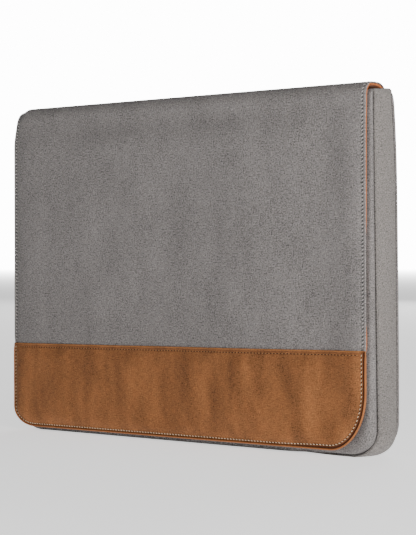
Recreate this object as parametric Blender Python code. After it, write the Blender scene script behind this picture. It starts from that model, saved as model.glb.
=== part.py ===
"""Canvas laptop sleeve with a wrap-over flap, a suede band and hidden magnets.

Run with: blender --background --python part.py
Metres, +Z up. Origin at the middle of the base. The flap covers the -Y front,
the compartment opens at the top, +X is to the right.
"""

import math

import bmesh
import bpy
from mathutils import Matrix, Vector

# ---------------------------------------------------------------- dimensions
MM = 0.001
GAP = 0.3 * MM                 # play between pieces that touch

BODY_HALF = 190.0 * MM         # half the pouch's width
BODY_TOP = 269.0 * MM          # height of the gusset's top edge
BODY_R = 21.0 * MM             # radius of the pouch's bottom corners
PANEL_TOP = 269.0 * MM         # top of the front and back panels

CANVAS_T = 0.9 * MM
FOAM_T = 2.6 * MM
GUSSET_FOAM_T = 3.0 * MM
LINING_T = 0.6 * MM

FRONT_Y = -16.5 * MM           # outer face of the front panel
FRONT_SEAM = -13.0 * MM        # front panel to gusset seam
BACK_SEAM = 15.5 * MM          # gusset to back panel seam
BACK_Y = 20.5 * MM             # outer face of the back panel, low down

LEAN_START = 60.0 * MM         # the back is upright below this height
LEAN_LINEAR = 2.8 * MM         # then leans in by this much at the top
LEAN_SHOULDER = 3.95 * MM      # and rounds over by this much more

FLAP_HALF = 187.0 * MM
FLAP_FACE = -19.9 * MM         # outer face of the flap's canvas
FLAP_BOTTOM = 4.5 * MM
FLAP_R = 36.0 * MM             # radius of the flap's lower corners
CROWN_TOP = 276.0 * MM
BAND_TOP = 78.3 * MM           # upper edge of the suede band

REAR_START = (7.3 * MM, 264.0 * MM)    # where the flap leaves the back panel
REAR_A, REAR_B = 11.7 * MM, 12.0 * MM  # quarter ellipse over the rear edge
ROOT_DROP = 6.0 * MM                   # how far the flap's root laps down inside
FRONT_ROLL = 8.0 * MM                  # radius over the front edge

HINGE_AT = (9.3 * MM, 32.4 * MM)       # bend lines, along the flap's outer face

FLAP_LAYER = {                 # depth below the flap's outer face
    "canvas": (0.0, 0.9 * MM),
    "interlining": (1.2 * MM, 2.2 * MM),
    "lining": (2.5 * MM, 3.1 * MM),
}

BINDING_T = 1.2 * MM
THREAD_W = 0.7 * MM
THREAD_T = 0.3 * MM
STITCH_INSET = 4.2 * MM        # stitch row to the flap's edge

MAGNET_R = 9.0 * MM
MAGNET_X = 112.0 * MM
MAGNET_Z = 34.0 * MM

CORNER_STEPS = 9
SIDE_LEVELS = 9


# ---------------------------------------------------------------- scene set-up
for old in list(bpy.data.objects):
    bpy.data.objects.remove(old, do_unlink=True)


def material(name, colour, roughness, metallic=0.0):
    m = bpy.data.materials.new(name)
    m.use_nodes = True
    shader = m.node_tree.nodes["Principled BSDF"]
    shader.inputs["Base Color"].default_value = (*colour, 1.0)
    shader.inputs["Roughness"].default_value = roughness
    shader.inputs["Metallic"].default_value = metallic
    return m


GREY = (0.205, 0.19, 0.178)
GREY_LIGHT = (0.30, 0.28, 0.265)
TAN = (0.235, 0.092, 0.032)
ORANGE = (0.52, 0.19, 0.06)
FOAM = (0.62, 0.60, 0.56)


def empty(name, location, parent=None):
    e = bpy.data.objects.new(name, None)
    bpy.context.scene.collection.objects.link(e)
    e.empty_display_size = 0.02
    e.parent = parent
    e.location = Vector(location) - (parent.matrix_world.translation if parent else Vector())
    bpy.context.view_layer.update()
    return e


def make(name, bm, colour, roughness, parent, metallic=0.0):
    """Turns a bmesh in world coordinates into an object under its parent empty."""
    bmesh.ops.recalc_face_normals(bm, faces=bm.faces[:])
    me = bpy.data.meshes.new(name)
    bm.to_mesh(me)
    bm.free()
    origin = parent.matrix_world.translation if parent else Vector()
    me.transform(Matrix.Translation(-origin))
    ob = bpy.data.objects.new(name, me)
    bpy.context.scene.collection.objects.link(ob)
    ob.parent = parent
    me.materials.append(material(name + "_finish", colour, roughness, metallic))
    me.shade_smooth()
    me.set_sharp_from_angle(angle=math.radians(35))
    return ob


# ---------------------------------------------------------------- outlines
def outline(inset, half, bottom, radius, top, levels=SIDE_LEVELS, steps=CORNER_STEPS):
    """Down the left side, round the two bottom corners and up the right side.

    Point k and point -1-k are each other's mirror image, and every inset has
    its upright points at the same heights.
    """
    corner = bottom + radius
    r = radius - inset
    left = [(-(half - inset), top + (corner - top) * i / levels) for i in range(levels)]
    cx = -(half - radius)
    for i in range(steps + 1):
        a = math.pi + math.pi / 2 * i / steps
        left.append((cx + r * math.cos(a), corner + r * math.sin(a)))
    return left + [(-x, z) for x, z in reversed(left)]


def lean(y, z):
    """How far the pouch's back comes forward at a height."""
    t = max(0.0, (z - LEAN_START) / (BODY_TOP - LEAN_START))
    shift = LEAN_LINEAR * t + LEAN_SHOULDER * t ** 6
    share = (y - FRONT_SEAM) / (BACK_SEAM - FRONT_SEAM)
    return y - shift * min(1.0, max(0.0, share))


def ring(bm, points, y, leaning):
    return [bm.verts.new((x, lean(y, z) if leaning else y, z)) for x, z in points]


def fill(bm, verts):
    """Closes an outline with strips between its mirrored points."""
    n = len(verts)
    for k in range(n // 2 - 1):
        bm.faces.new((verts[k], verts[k + 1], verts[n - 2 - k], verts[n - 1 - k]))


def bridge(bm, a, b, closed=True):
    n = len(a)
    for k in range(n if closed else n - 1):
        j = (k + 1) % n
        bm.faces.new((a[k], a[j], b[j], b[k]))


def slab(points, y0, y1, leaning=False):
    """A flat layer between two depths."""
    bm = bmesh.new()
    a, b = ring(bm, points, y0, leaning), ring(bm, points, y1, leaning)
    fill(bm, a)
    fill(bm, b)
    bridge(bm, a, b)
    return bm


def dish(outer, inner, leaning=False):
    """A panel's outer skin: rolled over at its edge and open towards the pouch.

    outer and inner are lists of (outline, depth) from the rim to the face.
    """
    bm = bmesh.new()
    o = [ring(bm, p, y, leaning) for p, y in outer]
    i = [ring(bm, p, y, leaning) for p, y in inner]
    for chain in (o, i):
        for a, b in zip(chain, chain[1:]):
            bridge(bm, a, b)
        fill(bm, chain[-1])
    bridge(bm, o[0], i[0])
    return bm


def channel(outside, inside, y0, y1, leaning=False):
    """A strip bent along a U outline, open at the top."""
    bm = bmesh.new()
    a, b = ring(bm, outside, y0, leaning), ring(bm, outside, y1, leaning)
    c, d = ring(bm, inside, y0, leaning), ring(bm, inside, y1, leaning)
    bridge(bm, a, b, closed=False)
    bridge(bm, c, d, closed=False)
    bridge(bm, a, c, closed=False)
    bridge(bm, b, d, closed=False)
    for k in (0, -1):
        bm.faces.new((a[k], b[k], d[k], c[k]))
    return bm


def block(x0, x1, y0, y1, z0, z1, leaning=False):
    bm = bmesh.new()
    verts = {}
    for i, x in enumerate((x0, x1)):
        for j, y in enumerate((y0, y1)):
            for k, z in enumerate((z0, z1)):
                verts[i, j, k] = bm.verts.new((x, lean(y, z) if leaning else y, z))
    for axis in range(3):
        for side in (0, 1):
            loop = []
            for p, q in ((0, 0), (0, 1), (1, 1), (1, 0)):
                key = [p, q]
                key.insert(axis, side)
                loop.append(verts[tuple(key)])
            bm.faces.new(loop)
    return bm


# ---------------------------------------------------------------- flap path
def flap_path(s):
    """Point and outward normal (y, z) on the flap's outer face, s along it."""
    cy, cz = REAR_START[0] - REAR_A, REAR_START[1]
    steps, total, last = 200, 0.0, (REAR_START[0], cz)
    if s <= 0.0:
        return (REAR_START[0], cz + s), (1.0, 0.0)
    for i in range(1, steps + 1):
        a = math.pi / 2 * i / steps
        p = (cy + REAR_A * math.cos(a), cz + REAR_B * math.sin(a))
        d = math.dist(p, last)
        if total + d >= s:
            f = (s - total) / d
            n = Vector((math.cos(a) / REAR_A, math.sin(a) / REAR_B)).normalized()
            return (last[0] + (p[0] - last[0]) * f, last[1] + (p[1] - last[1]) * f), (n.x, n.y)
        total, last = total + d, p
    flat = cy - (FLAP_FACE + FRONT_ROLL)
    if s <= total + flat:
        return (cy - (s - total), CROWN_TOP), (0.0, 1.0)
    s -= total + flat
    arc = FRONT_ROLL * math.pi / 2
    centre = (FLAP_FACE + FRONT_ROLL, CROWN_TOP - FRONT_ROLL)
    if s <= arc:
        a = math.pi / 2 + s / FRONT_ROLL
        n = (math.cos(a), math.sin(a))
        return (centre[0] + FRONT_ROLL * n[0], centre[1] + FRONT_ROLL * n[1]), n
    return (FLAP_FACE, centre[1] - (s - arc)), (-1.0, 0.0)


def strip(rows, layer):
    """One flap layer, from rows of (distance along the flap, half width)."""
    t0, t1 = FLAP_LAYER[layer]
    bm = bmesh.new()
    grid = []                                   # row, then outer/inner, then left/right
    for s, half in rows:
        (y, z), (ny, nz) = flap_path(s)
        grid.append([[bm.verts.new((x, y - ny * t, z - nz * t)) for x in (-half, half)]
                     for t in (t0, t1)])
    for r0, r1 in zip(grid, grid[1:]):
        for f in (0, 1):
            bm.faces.new((r0[f][0], r0[f][1], r1[f][1], r1[f][0]))
            bm.faces.new((r0[0][f], r0[1][f], r1[1][f], r1[0][f]))
    for r in (grid[0], grid[-1]):
        bm.faces.new((r[0][0], r[0][1], r[1][1], r[1][0]))
    return bm


def even_rows(s0, s1, half, steps=6):
    return [(s0 + (s1 - s0) * i / steps, half) for i in range(steps + 1)]


def rounded_rows(s0, inset, steps=14):
    """Rows from s0 down to the flap's lower edge, with its two round corners."""
    rows = even_rows(s0, ARC_END, FLAP_HALF - inset, 4)
    corner = FLAP_BOTTOM + FLAP_R
    r = FLAP_R - inset
    for i in range(steps + 1):
        a = math.pi / 2 * i / steps
        z = corner - r * math.sin(a)
        rows.append((along(z), FLAP_HALF - FLAP_R + r * math.cos(a)))
    return rows


def along(z):
    """Distance along the flap of a height on its flat front."""
    (_, reference), _ = flap_path(100 * MM)
    return 100 * MM + reference - z


ARC_END = along(CROWN_TOP - FRONT_ROLL)

# ---------------------------------------------------------------- bodies
hinge_points = [flap_path(s)[0] for s in HINGE_AT]
root = empty("pouch_frame", (0, 0, 0))
fold = empty("fold_axis", (0, *hinge_points[0]), root)
flap = empty("flap_axis", (0, *hinge_points[1]), fold)


def body_outline(inset, top=PANEL_TOP):
    return outline(inset, BODY_HALF, 0.0, BODY_R, top)


# gusset: one long strip for both sides and the base
g0 = CANVAS_T
g1 = g0 + GAP
g2 = g1 + GUSSET_FOAM_T
g3 = g2 + GAP
g4 = g3 + LINING_T
front_edge, back_edge = FRONT_SEAM + GAP / 2, BACK_SEAM - GAP / 2
make("gusset_canvas", channel(body_outline(0, BODY_TOP), body_outline(g0, BODY_TOP),
     front_edge, back_edge, True), GREY_LIGHT, 0.9, root)
make("gusset_foam", channel(body_outline(g1, BODY_TOP), body_outline(g2, BODY_TOP),
     front_edge, back_edge, True), FOAM, 0.95, root)
make("gusset_lining", channel(body_outline(g3, BODY_TOP), body_outline(g4, BODY_TOP),
     front_edge, back_edge, True), ORANGE, 0.85, root)
for side, sign in (("left", -1), ("right", 1)):
    xs = sorted((sign * BODY_HALF, sign * (BODY_HALF - g4)))
    make("gusset_hem_" + side, block(*xs, front_edge, back_edge, BODY_TOP + GAP,
         BODY_TOP + 1.3 * MM, True), GREY_LIGHT, 0.9, root)


def pulled_in(rings, top_drop):
    """Lowers the top edge of each ring so that the panel also rolls over there."""
    found = []
    for (points, y), drop in zip(rings, top_drop):
        top = points[0][1]
        found.append(([(x, z - drop) if z == top else (x, z) for x, z in points], y))
    return found


# front panel: canvas, foam, lining
roll = FRONT_SEAM - FRONT_Y
rim = FRONT_SEAM - GAP / 2
front_outer = [
    (body_outline(0), rim),
    (body_outline(0), rim - 0.30 * roll),
    (body_outline(0.20 * roll), FRONT_Y + 0.30 * roll),
    (body_outline(0.55 * roll), FRONT_Y + 0.08 * roll),
    (body_outline(1.20 * roll), FRONT_Y),
]
front_inner = [
    (body_outline(CANVAS_T), rim),
    (body_outline(CANVAS_T), rim - 0.25 * roll),
    (body_outline(CANVAS_T + 0.45 * roll), FRONT_Y + CANVAS_T + 0.06 * roll),
    (body_outline(CANVAS_T + 1.10 * roll), FRONT_Y + CANVAS_T),
]
front_outer = pulled_in(front_outer, [0, 0.2 * MM, 0.8 * MM, 2.0 * MM, 4.0 * MM])
front_inner = pulled_in(front_inner, [1.0 * MM, 1.2 * MM, 2.4 * MM, 4.4 * MM])
make("front_panel_canvas", dish(front_outer, front_inner), GREY, 0.92, root)
inner = g4 + GAP
f0 = FRONT_Y + CANVAS_T + GAP
front_foam = make("front_panel_foam", slab(outline(inner, BODY_HALF, 0.0, BODY_R, PANEL_TOP - 8 * MM),
                  f0, f0 + FOAM_T), FOAM, 0.95, root)
f1 = f0 + FOAM_T + GAP
make("front_panel_lining", slab(outline(inner, BODY_HALF, 0.0, BODY_R, PANEL_TOP),
     f1, f1 + LINING_T), ORANGE, 0.85, root)
make("front_opening_hem", block(-(BODY_HALF - inner - 0.4 * MM), BODY_HALF - inner - 0.4 * MM,
     FRONT_Y + 1.6 * MM, f1 + LINING_T, PANEL_TOP + GAP, PANEL_TOP + 1.3 * MM), GREY, 0.92, root)

# back panel: the same three layers, leaning in towards the top
deep = BACK_Y - BACK_SEAM
rim = BACK_SEAM + GAP / 2
back_outer = [
    (body_outline(0), rim),
    (body_outline(0), rim + 0.25 * deep),
    (body_outline(0.20 * deep), BACK_Y - 0.30 * deep),
    (body_outline(0.55 * deep), BACK_Y - 0.08 * deep),
    (body_outline(1.20 * deep), BACK_Y),
]
back_inner = [
    (body_outline(CANVAS_T), rim),
    (body_outline(CANVAS_T), rim + 0.25 * deep),
    (body_outline(CANVAS_T + 0.30 * deep), BACK_Y - CANVAS_T - 0.12 * deep),
    (body_outline(CANVAS_T + 0.90 * deep), BACK_Y - CANVAS_T),
]


back_outer = pulled_in(back_outer, [0, 0.2 * MM, 1.0 * MM, 3.0 * MM, 7.0 * MM])
back_inner = pulled_in(back_inner, [1.0 * MM, 1.2 * MM, 3.2 * MM, 7.6 * MM])
make("back_panel_canvas", dish(back_outer, back_inner, True), GREY, 0.92, root)
b0 = BACK_Y - CANVAS_T - GAP
make("back_panel_foam", slab(outline(inner, BODY_HALF, 0.0, BODY_R, PANEL_TOP - 14 * MM),
     b0 - FOAM_T, b0, True), FOAM, 0.95, root)
b1 = b0 - FOAM_T - GAP
make("back_panel_lining", slab(outline(inner, BODY_HALF, 0.0, BODY_R, PANEL_TOP - 14 * MM),
     b1 - LINING_T, b1, True), ORANGE, 0.85, root)


# ---------------------------------------------------------------- the flap
half_gap = GAP / 2
MOUTH_HALF = BODY_HALF - g4 - 2 * GAP       # fits between the gusset's two sides
root_end, fold_start = HINGE_AT[0] - half_gap, HINGE_AT[0] + half_gap
fold_end, flap_start = HINGE_AT[1] - half_gap, HINGE_AT[1] + half_gap
EDGE = BINDING_T + GAP

# sewn to the back panel
make("flap_root_canvas", strip(even_rows(-ROOT_DROP, root_end, MOUTH_HALF), "canvas"), GREY, 0.92, root)
make("flap_root_lining", strip(even_rows(-ROOT_DROP, root_end, MOUTH_HALF), "lining"), ORANGE, 0.85, root)
back_rim = lean(BACK_SEAM + GAP / 2, PANEL_TOP)
make("flap_seam_tape", block(-MOUTH_HALF, MOUTH_HALF, REAR_START[0] + GAP, back_rim - GAP,
     REAR_START[1] - ROOT_DROP, REAR_START[1] + 2.0 * MM), GREY, 0.92, root)

# over the mouth
make("fold_canvas", strip(even_rows(fold_start, fold_end, FLAP_HALF, 8), "canvas"), GREY, 0.92, fold)
make("fold_lining", strip(even_rows(fold_start, fold_end, MOUTH_HALF, 8), "lining"), ORANGE, 0.85, fold)



# down the front
def depth(layer):
    t0, t1 = FLAP_LAYER[layer]
    return FLAP_FACE + t0, FLAP_FACE + t1


y0, y1 = depth("canvas")
make("flap_canvas", strip(even_rows(flap_start, ARC_END, FLAP_HALF, 4)
     + [(along(BAND_TOP + half_gap), FLAP_HALF)], "canvas"), GREY, 0.92, flap)


def flap_outline(inset, top):
    return outline(inset, FLAP_HALF, FLAP_BOTTOM, FLAP_R, top, levels=3, steps=14)


make("flap_suede_band", slab(flap_outline(EDGE, BAND_TOP - half_gap), y0, y1), TAN, 0.95, flap)
stiffener = make("flap_interlining", slab(flap_outline(EDGE, CROWN_TOP - FRONT_ROLL), *depth("interlining")),
                 FOAM, 0.95, flap)
make("flap_lining", strip(rounded_rows(flap_start, EDGE), "lining"), ORANGE, 0.85, flap)
make("band_edge_binding", channel(flap_outline(0, BAND_TOP - half_gap),
     flap_outline(BINDING_T, BAND_TOP - half_gap), y0, depth("lining")[1]), ORANGE, 0.7, flap)

# sewing thread, one continuous run each
thread_y = (FLAP_FACE - 2 * THREAD_T, FLAP_FACE - THREAD_T)
make("band_edge_thread", channel(flap_outline(STITCH_INSET, BAND_TOP - 2 * MM),
     flap_outline(STITCH_INSET + THREAD_W, BAND_TOP - 2 * MM), *thread_y), (0.75, 0.66, 0.55), 0.8, flap)
run = FLAP_HALF - STITCH_INSET - THREAD_W - 1.0 * MM
make("band_top_thread", block(-run, run, *thread_y, BAND_TOP - 3.2 * MM, BAND_TOP - 3.2 * MM + THREAD_W),
     (0.6, 0.42, 0.26), 0.8, flap)
for side, sign in (("left", -1), ("right", 1)):
    xs = sorted((sign * (FLAP_HALF - STITCH_INSET), sign * (FLAP_HALF - STITCH_INSET - THREAD_W)))
    make("flap_edge_thread_" + side, block(*xs, *thread_y, BAND_TOP + 1 * MM, CROWN_TOP - FRONT_ROLL - 1 * MM),
         (0.12, 0.115, 0.11), 0.8, flap)


# ---------------------------------------------------------------- closure
def disc(name, x, y0, y1, parent, radius=MAGNET_R):
    bm = bmesh.new()
    bmesh.ops.create_cone(bm, cap_ends=True, segments=28, radius1=radius, radius2=radius, depth=y1 - y0)
    bm.transform(Matrix.Translation((x, (y0 + y1) / 2, MAGNET_Z)) @ Matrix.Rotation(math.pi / 2, 4, "X"))
    return make(name, bm, (0.55, 0.55, 0.57), 0.35, parent, 1.0)


def pocket(target, name, x, y0, y1):
    """Cuts the round pocket that a magnet sits in."""
    cutter = disc(name, x, y0, y1, target.parent, MAGNET_R + GAP)
    cutter.hide_render = True
    cutter.display_type = "WIRE"
    mod = target.modifiers.new(name, "BOOLEAN")
    mod.operation = "DIFFERENCE"
    mod.solver = "EXACT"
    mod.object = cutter


i0, i1 = depth("interlining")
for side, sign in (("left", -1), ("right", 1)):
    x = sign * MAGNET_X
    disc("flap_magnet_" + side, x, i0, i1, flap)
    pocket(stiffener, "flap_pocket_" + side, x, i0 - 1 * MM, i1 + 1 * MM)
    disc("front_keeper_" + side, x, f0, f0 + 1.5 * MM, root)
    pocket(front_foam, "front_pocket_" + side, x, f0 - 1 * MM, f0 + 1.8 * MM)
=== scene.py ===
"""Looks of the canvas laptop sleeve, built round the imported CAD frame.

Lengths are in millimetres until a mesh is made. The flap covers the -Y front.
"""
import math

import bmesh
import bpy
import numpy as np
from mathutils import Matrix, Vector


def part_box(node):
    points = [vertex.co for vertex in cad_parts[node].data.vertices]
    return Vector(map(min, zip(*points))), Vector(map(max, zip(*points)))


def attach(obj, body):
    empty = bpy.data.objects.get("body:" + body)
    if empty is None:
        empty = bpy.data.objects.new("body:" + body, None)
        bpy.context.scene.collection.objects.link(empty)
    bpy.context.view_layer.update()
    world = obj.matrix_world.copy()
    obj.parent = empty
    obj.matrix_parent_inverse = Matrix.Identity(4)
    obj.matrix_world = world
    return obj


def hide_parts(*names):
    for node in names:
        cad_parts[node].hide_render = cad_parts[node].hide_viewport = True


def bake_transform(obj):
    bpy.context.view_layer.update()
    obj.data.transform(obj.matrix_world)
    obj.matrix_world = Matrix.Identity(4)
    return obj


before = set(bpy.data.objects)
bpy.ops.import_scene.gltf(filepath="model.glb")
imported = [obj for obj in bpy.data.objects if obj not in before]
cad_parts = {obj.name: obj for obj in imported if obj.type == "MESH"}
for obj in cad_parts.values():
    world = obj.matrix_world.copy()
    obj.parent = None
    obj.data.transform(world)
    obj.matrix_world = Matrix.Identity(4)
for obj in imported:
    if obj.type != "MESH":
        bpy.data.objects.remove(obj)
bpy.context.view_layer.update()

MM = 0.001
scene = bpy.context.scene


# ------------------------------------------------------------------ frame sizes
def box_mm(node):
    lo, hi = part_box(node)
    return np.array(lo) / MM, np.array(hi) / MM


BODY_HALF = box_mm("gusset_canvas")[1][0]
BODY_TOP = box_mm("gusset_canvas")[1][2]
BODY_CORNERS = (31.0, 21.0)      # lower left and right
FRONT_FACE = box_mm("front_panel_canvas")[0][1]
FRONT_INNER = box_mm("front_panel_foam")[1][1]
FRONT_LINING = [box_mm("front_panel_lining")[i][1] for i in (0, 1)]
HEM_TOP = box_mm("gusset_hem_left")[1][2]
BACK_FACE = box_mm("back_panel_canvas")[1][1]
BACK_SEAM = box_mm("gusset_canvas")[1][1] + 0.15
FLAP_HALF = box_mm("flap_canvas")[1][0]
FLAP_FACE = box_mm("flap_canvas")[0][1]
FLAP_BOTTOM = box_mm("band_edge_binding")[0][2]
FLAP_CORNERS = ((26.0, 17.0), (33.0, 43.0))     # lower left and right, width and height
BAND_TOP = box_mm("flap_suede_band")[1][2]
CROWN = box_mm("fold_canvas")[1][2]
MOUTH_HALF = box_mm("flap_root_canvas")[1][0]
ROOT_Y = box_mm("flap_root_canvas")[1][1]

ROOT_Z = 264.0                 # the flap leaves the back panel here
REAR_A, REAR_B = 11.7, CROWN - ROOT_Z
ROLL_A, ROLL_B = 8.0, 11.0     # front roll, depth and height
SPLIT = 20.8                   # distance along the flap between its two bends
CANVAS_T, LINING_T = 1.3, 0.6   # the flap's canvas is turned under at its edge


# ------------------------------------------------------------------ small maths
def smooth(t):
    t = np.clip(t, 0.0, 1.0)
    return t * t * (3 - 2 * t)


def lattice(u, v, cell_u, cell_v, seed):
    """Smooth random field in -1..1 with cells of that size."""
    rng = np.random.default_rng(seed)
    table = rng.uniform(-1, 1, (128, 128))
    a, b = np.asarray(u, float) / cell_u + 37.3, np.asarray(v, float) / cell_v + 51.7
    i, j = np.floor(a).astype(int), np.floor(b).astype(int)
    fa, fb = smooth(a - i), smooth(b - j)
    t = lambda x, y: table[x % 128, y % 128]
    return ((t(i, j) * (1 - fa) + t(i + 1, j) * fa) * (1 - fb)
            + (t(i, j + 1) * (1 - fa) + t(i + 1, j + 1) * fa) * fb)


def bump_at(x, centre, width):
    return np.exp(-((x - centre) / width) ** 2)


# ------------------------------------------------------------------ flap path
def _path_table():
    pts, a = [(ROOT_Y, ROOT_Z)], np.linspace(0, math.pi / 2, 400)
    cy = ROOT_Y - REAR_A
    pts += [(cy + REAR_A * math.cos(t), ROOT_Z + REAR_B * math.sin(t)) for t in a[1:]]
    pts += [(y, CROWN) for y in np.linspace(cy, FLAP_FACE + ROLL_A, 60)[1:]]
    pts += [(FLAP_FACE + ROLL_A - ROLL_A * math.sin(t), CROWN - ROLL_B + ROLL_B * math.cos(t)) for t in a[1:]]
    pts = np.array(pts)
    s = np.concatenate([[0], np.cumsum(np.hypot(*np.diff(pts, axis=0).T))])
    d = np.gradient(pts, s, axis=0)
    n = np.stack([-d[:, 1], d[:, 0]], 1) * -1
    n /= np.linalg.norm(n, axis=1)[:, None]
    return s, pts, n


_S, _P, _N = _path_table()
FRONT_S = _S[-1]                       # where the flat front begins
FRONT_V = CROWN - ROLL_B               # and its height


def path(s):
    """Points (y, z) and outward normals on the flap's outer face."""
    s = np.asarray(s, float)
    y, z = np.interp(s, _S, _P[:, 0]), np.interp(s, _S, _P[:, 1])
    ny, nz = np.interp(s, _S, _N[:, 0]), np.interp(s, _S, _N[:, 1])
    z = np.where(s < 0, ROOT_Z + s, np.where(s > FRONT_S, FRONT_V - (s - FRONT_S), z))
    ny = np.where(s < 0, 1.0, np.where(s > FRONT_S, -1.0, ny))
    nz = np.where((s < 0) | (s > FRONT_S), 0.0, nz)
    r = np.hypot(ny, nz)
    return y, z, ny / r, nz / r


def s_of(v):
    """Distance along the flap of a height on its unrolled front."""
    return FRONT_S + FRONT_V - np.asarray(v, float)


SPLIT_V = FRONT_S + FRONT_V - SPLIT


# ------------------------------------------------------------------ cloth
def cloth_patch(width, height, cell, grow, pressure, bend, seed, frames=20, pin=("l", "r", "t", "b")):
    """Simulates a cloth cut slightly too large for its pinned edges and gives its relief, -1..1."""
    nx, ny = int(round(width / cell)) + 1, int(round(height / cell)) + 1
    xs, ys = np.linspace(0, width, nx), np.linspace(0, height, ny)
    gx, gy = np.meshgrid(xs, ys)
    rng = np.random.default_rng(seed)
    scale = 0.01                                       # one unit is 100 mm
    start = lattice(gx, gy, 40, 70, seed) * 0.4 + rng.uniform(-0.02, 0.02, gx.shape)
    edge = np.minimum(np.minimum(gx, width - gx), np.minimum(gy, height - gy))
    start *= smooth(edge / 12)
    verts = np.stack([gx * scale, gy * scale, start * scale], -1).reshape(-1, 3)
    i = np.arange(nx * ny).reshape(ny, nx)
    faces = np.stack([i[:-1, :-1], i[:-1, 1:], i[1:, 1:], i[1:, :-1]], -1).reshape(-1, 4)
    me = bpy.data.meshes.new("patch")
    me.from_pydata(verts.tolist(), [], faces.tolist())
    ob = bpy.data.objects.new("patch", me)
    scene.collection.objects.link(ob)
    held = ob.vertex_groups.new(name="held")
    sides = {"l": i[:, 0], "r": i[:, -1], "t": i[-1], "b": i[0]}
    held.add(sorted(set(int(k) for side in pin for k in sides[side])), 1.0, "REPLACE")
    mod = ob.modifiers.new("Cloth", "CLOTH")
    st = mod.settings
    st.quality = 6
    st.mass = 0.25
    st.tension_stiffness = st.compression_stiffness = 18
    st.shear_stiffness = 6
    st.bending_stiffness = bend
    st.use_pressure = True
    st.uniform_pressure_force = pressure
    st.vertex_group_mass = "held"
    st.shrink_min = -grow
    st.effector_weights.gravity = 0
    mod.collision_settings.use_collision = False
    mod.collision_settings.use_self_collision = False
    mod.point_cache.frame_start, mod.point_cache.frame_end = 1, frames
    scene.frame_start, scene.frame_end = 1, frames
    for f in range(1, frames + 1):
        scene.frame_set(f)
    ev = ob.evaluated_get(bpy.context.evaluated_depsgraph_get())
    co = np.zeros(len(ev.data.vertices) * 3)
    ev.data.vertices.foreach_get("co", co)
    z = co.reshape(ny, nx, 3)[..., 2] / scale
    bpy.data.objects.remove(ob, do_unlink=True)
    bpy.data.meshes.remove(me)
    scene.frame_set(1)
    for _ in range(2):                                 # takes off single-vertex noise
        z[1:-1, 1:-1] = (z[1:-1, 1:-1] * 4 + z[:-2, 1:-1] + z[2:, 1:-1] + z[1:-1, :-2] + z[1:-1, 2:]) / 8
    return z / max(1e-6, np.percentile(np.abs(z), 98))


def sample(field, a, b):
    """Smooth lookup of a relief at 0..1 coordinates."""
    ny, nx = field.shape
    a, b = np.clip(a, 0, 1) * (nx - 1), np.clip(b, 0, 1) * (ny - 1)
    i, j = np.minimum(a.astype(int), nx - 2), np.minimum(b.astype(int), ny - 2)
    fa, fb = a - i, b - j
    return ((field[j, i] * (1 - fa) + field[j, i + 1] * fa) * (1 - fb)
            + (field[j + 1, i] * (1 - fa) + field[j + 1, i + 1] * fa) * fb)


FLAP_CLOTH = cloth_patch(374, 196, 5.0, 0.012, 0.6, 1.2, 11)
BAND_CLOTH = cloth_patch(374, 76, 4.0, 0.016, 0.5, 0.9, 23)
PANEL_CLOTH = cloth_patch(380, 268, 6.0, 0.010, 1.2, 1.5, 37)
SIDE_CLOTH = cloth_patch(860, 30, 3.0, 0.012, 0.8, 0.8, 41)


# ------------------------------------------------------------------ the soft top left corner
def warp(p):
    """The sleeve's unheld top left corner rounds over by two or three millimetres."""
    p = np.array(p, float)
    side = smooth((-(FLAP_HALF - 15) - p[:, 0]) / 15)
    up = smooth((p[:, 2] - (CROWN - 34)) / 34)
    g = side * up
    p[:, 0] += 2.0 * g
    p[:, 1] += 2.4 * g * (p[:, 1] < 0)
    p[:, 2] -= 2.6 * g
    return p


def hang(p):
    """The flap hangs a little askew: towards the right and lower on the left, most of all at the band."""
    p = np.array(p, float)
    at = [FLAP_BOTTOM, BAND_TOP, 140, 232, CROWN]
    drop = np.interp(p[:, 2], at, [-0.40, -1.60, -0.8, 0, 0])
    tilt = np.interp(p[:, 2], at, [0.71, 2.37, 1.25, 0, 0])
    p[:, 0] += 1.0 * np.clip((CROWN - p[:, 2]) / (CROWN - FLAP_BOTTOM), 0, 1)
    p[:, 0] += 0.8 * smooth((-p[:, 0] - 150) / 36) * smooth((BAND_TOP + 6 - p[:, 2]) / 8)
    p[:, 2] += drop + tilt * p[:, 0] / FLAP_HALF
    return p


# ------------------------------------------------------------------ mesh making
def to_object(name, verts, faces, uv, mats, body=None, edge=None, wear=None, face_mat=None, sharp=50, hung=False):
    verts = warp(verts)
    if hung:
        verts = hang(verts)
    me = bpy.data.meshes.new(name)
    me.from_pydata((np.asarray(verts) * MM).tolist(), [], [list(map(int, f)) for f in faces])
    me.validate()
    ob = bpy.data.objects.new(name, me)
    scene.collection.objects.link(ob)
    layer = me.uv_layers.new(name="cloth")
    index = np.zeros(len(me.loops), int)
    me.loops.foreach_get("vertex_index", index)
    layer.data.foreach_set("uv", (np.asarray(uv)[index] / 10.0).astype(np.float32).ravel())
    # Colour masks: the first is painted shade in seams, stitch grooves, the band's groove and under the flap; the
    # second lightens edges for wear and for a painted highlight, and paints shade where it is negative.
    for attribute, values in (("painted_shade", edge), ("worn_and_painted_light", wear)):
        if values is not None:
            a = me.attributes.new(attribute, "FLOAT", "POINT")
            a.data.foreach_set("value", np.asarray(values, np.float32))
    for m in mats:
        me.materials.append(m)
    if face_mat is not None:
        me.polygons.foreach_set("material_index", np.asarray(face_mat, np.int32))
    bm = bmesh.new()
    bm.from_mesh(me)
    bmesh.ops.recalc_face_normals(bm, faces=bm.faces[:])
    bm.to_mesh(me)
    bm.free()
    me.shade_smooth()
    me.set_sharp_from_angle(angle=math.radians(sharp))
    if body:
        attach(ob, body)
    return ob


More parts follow.
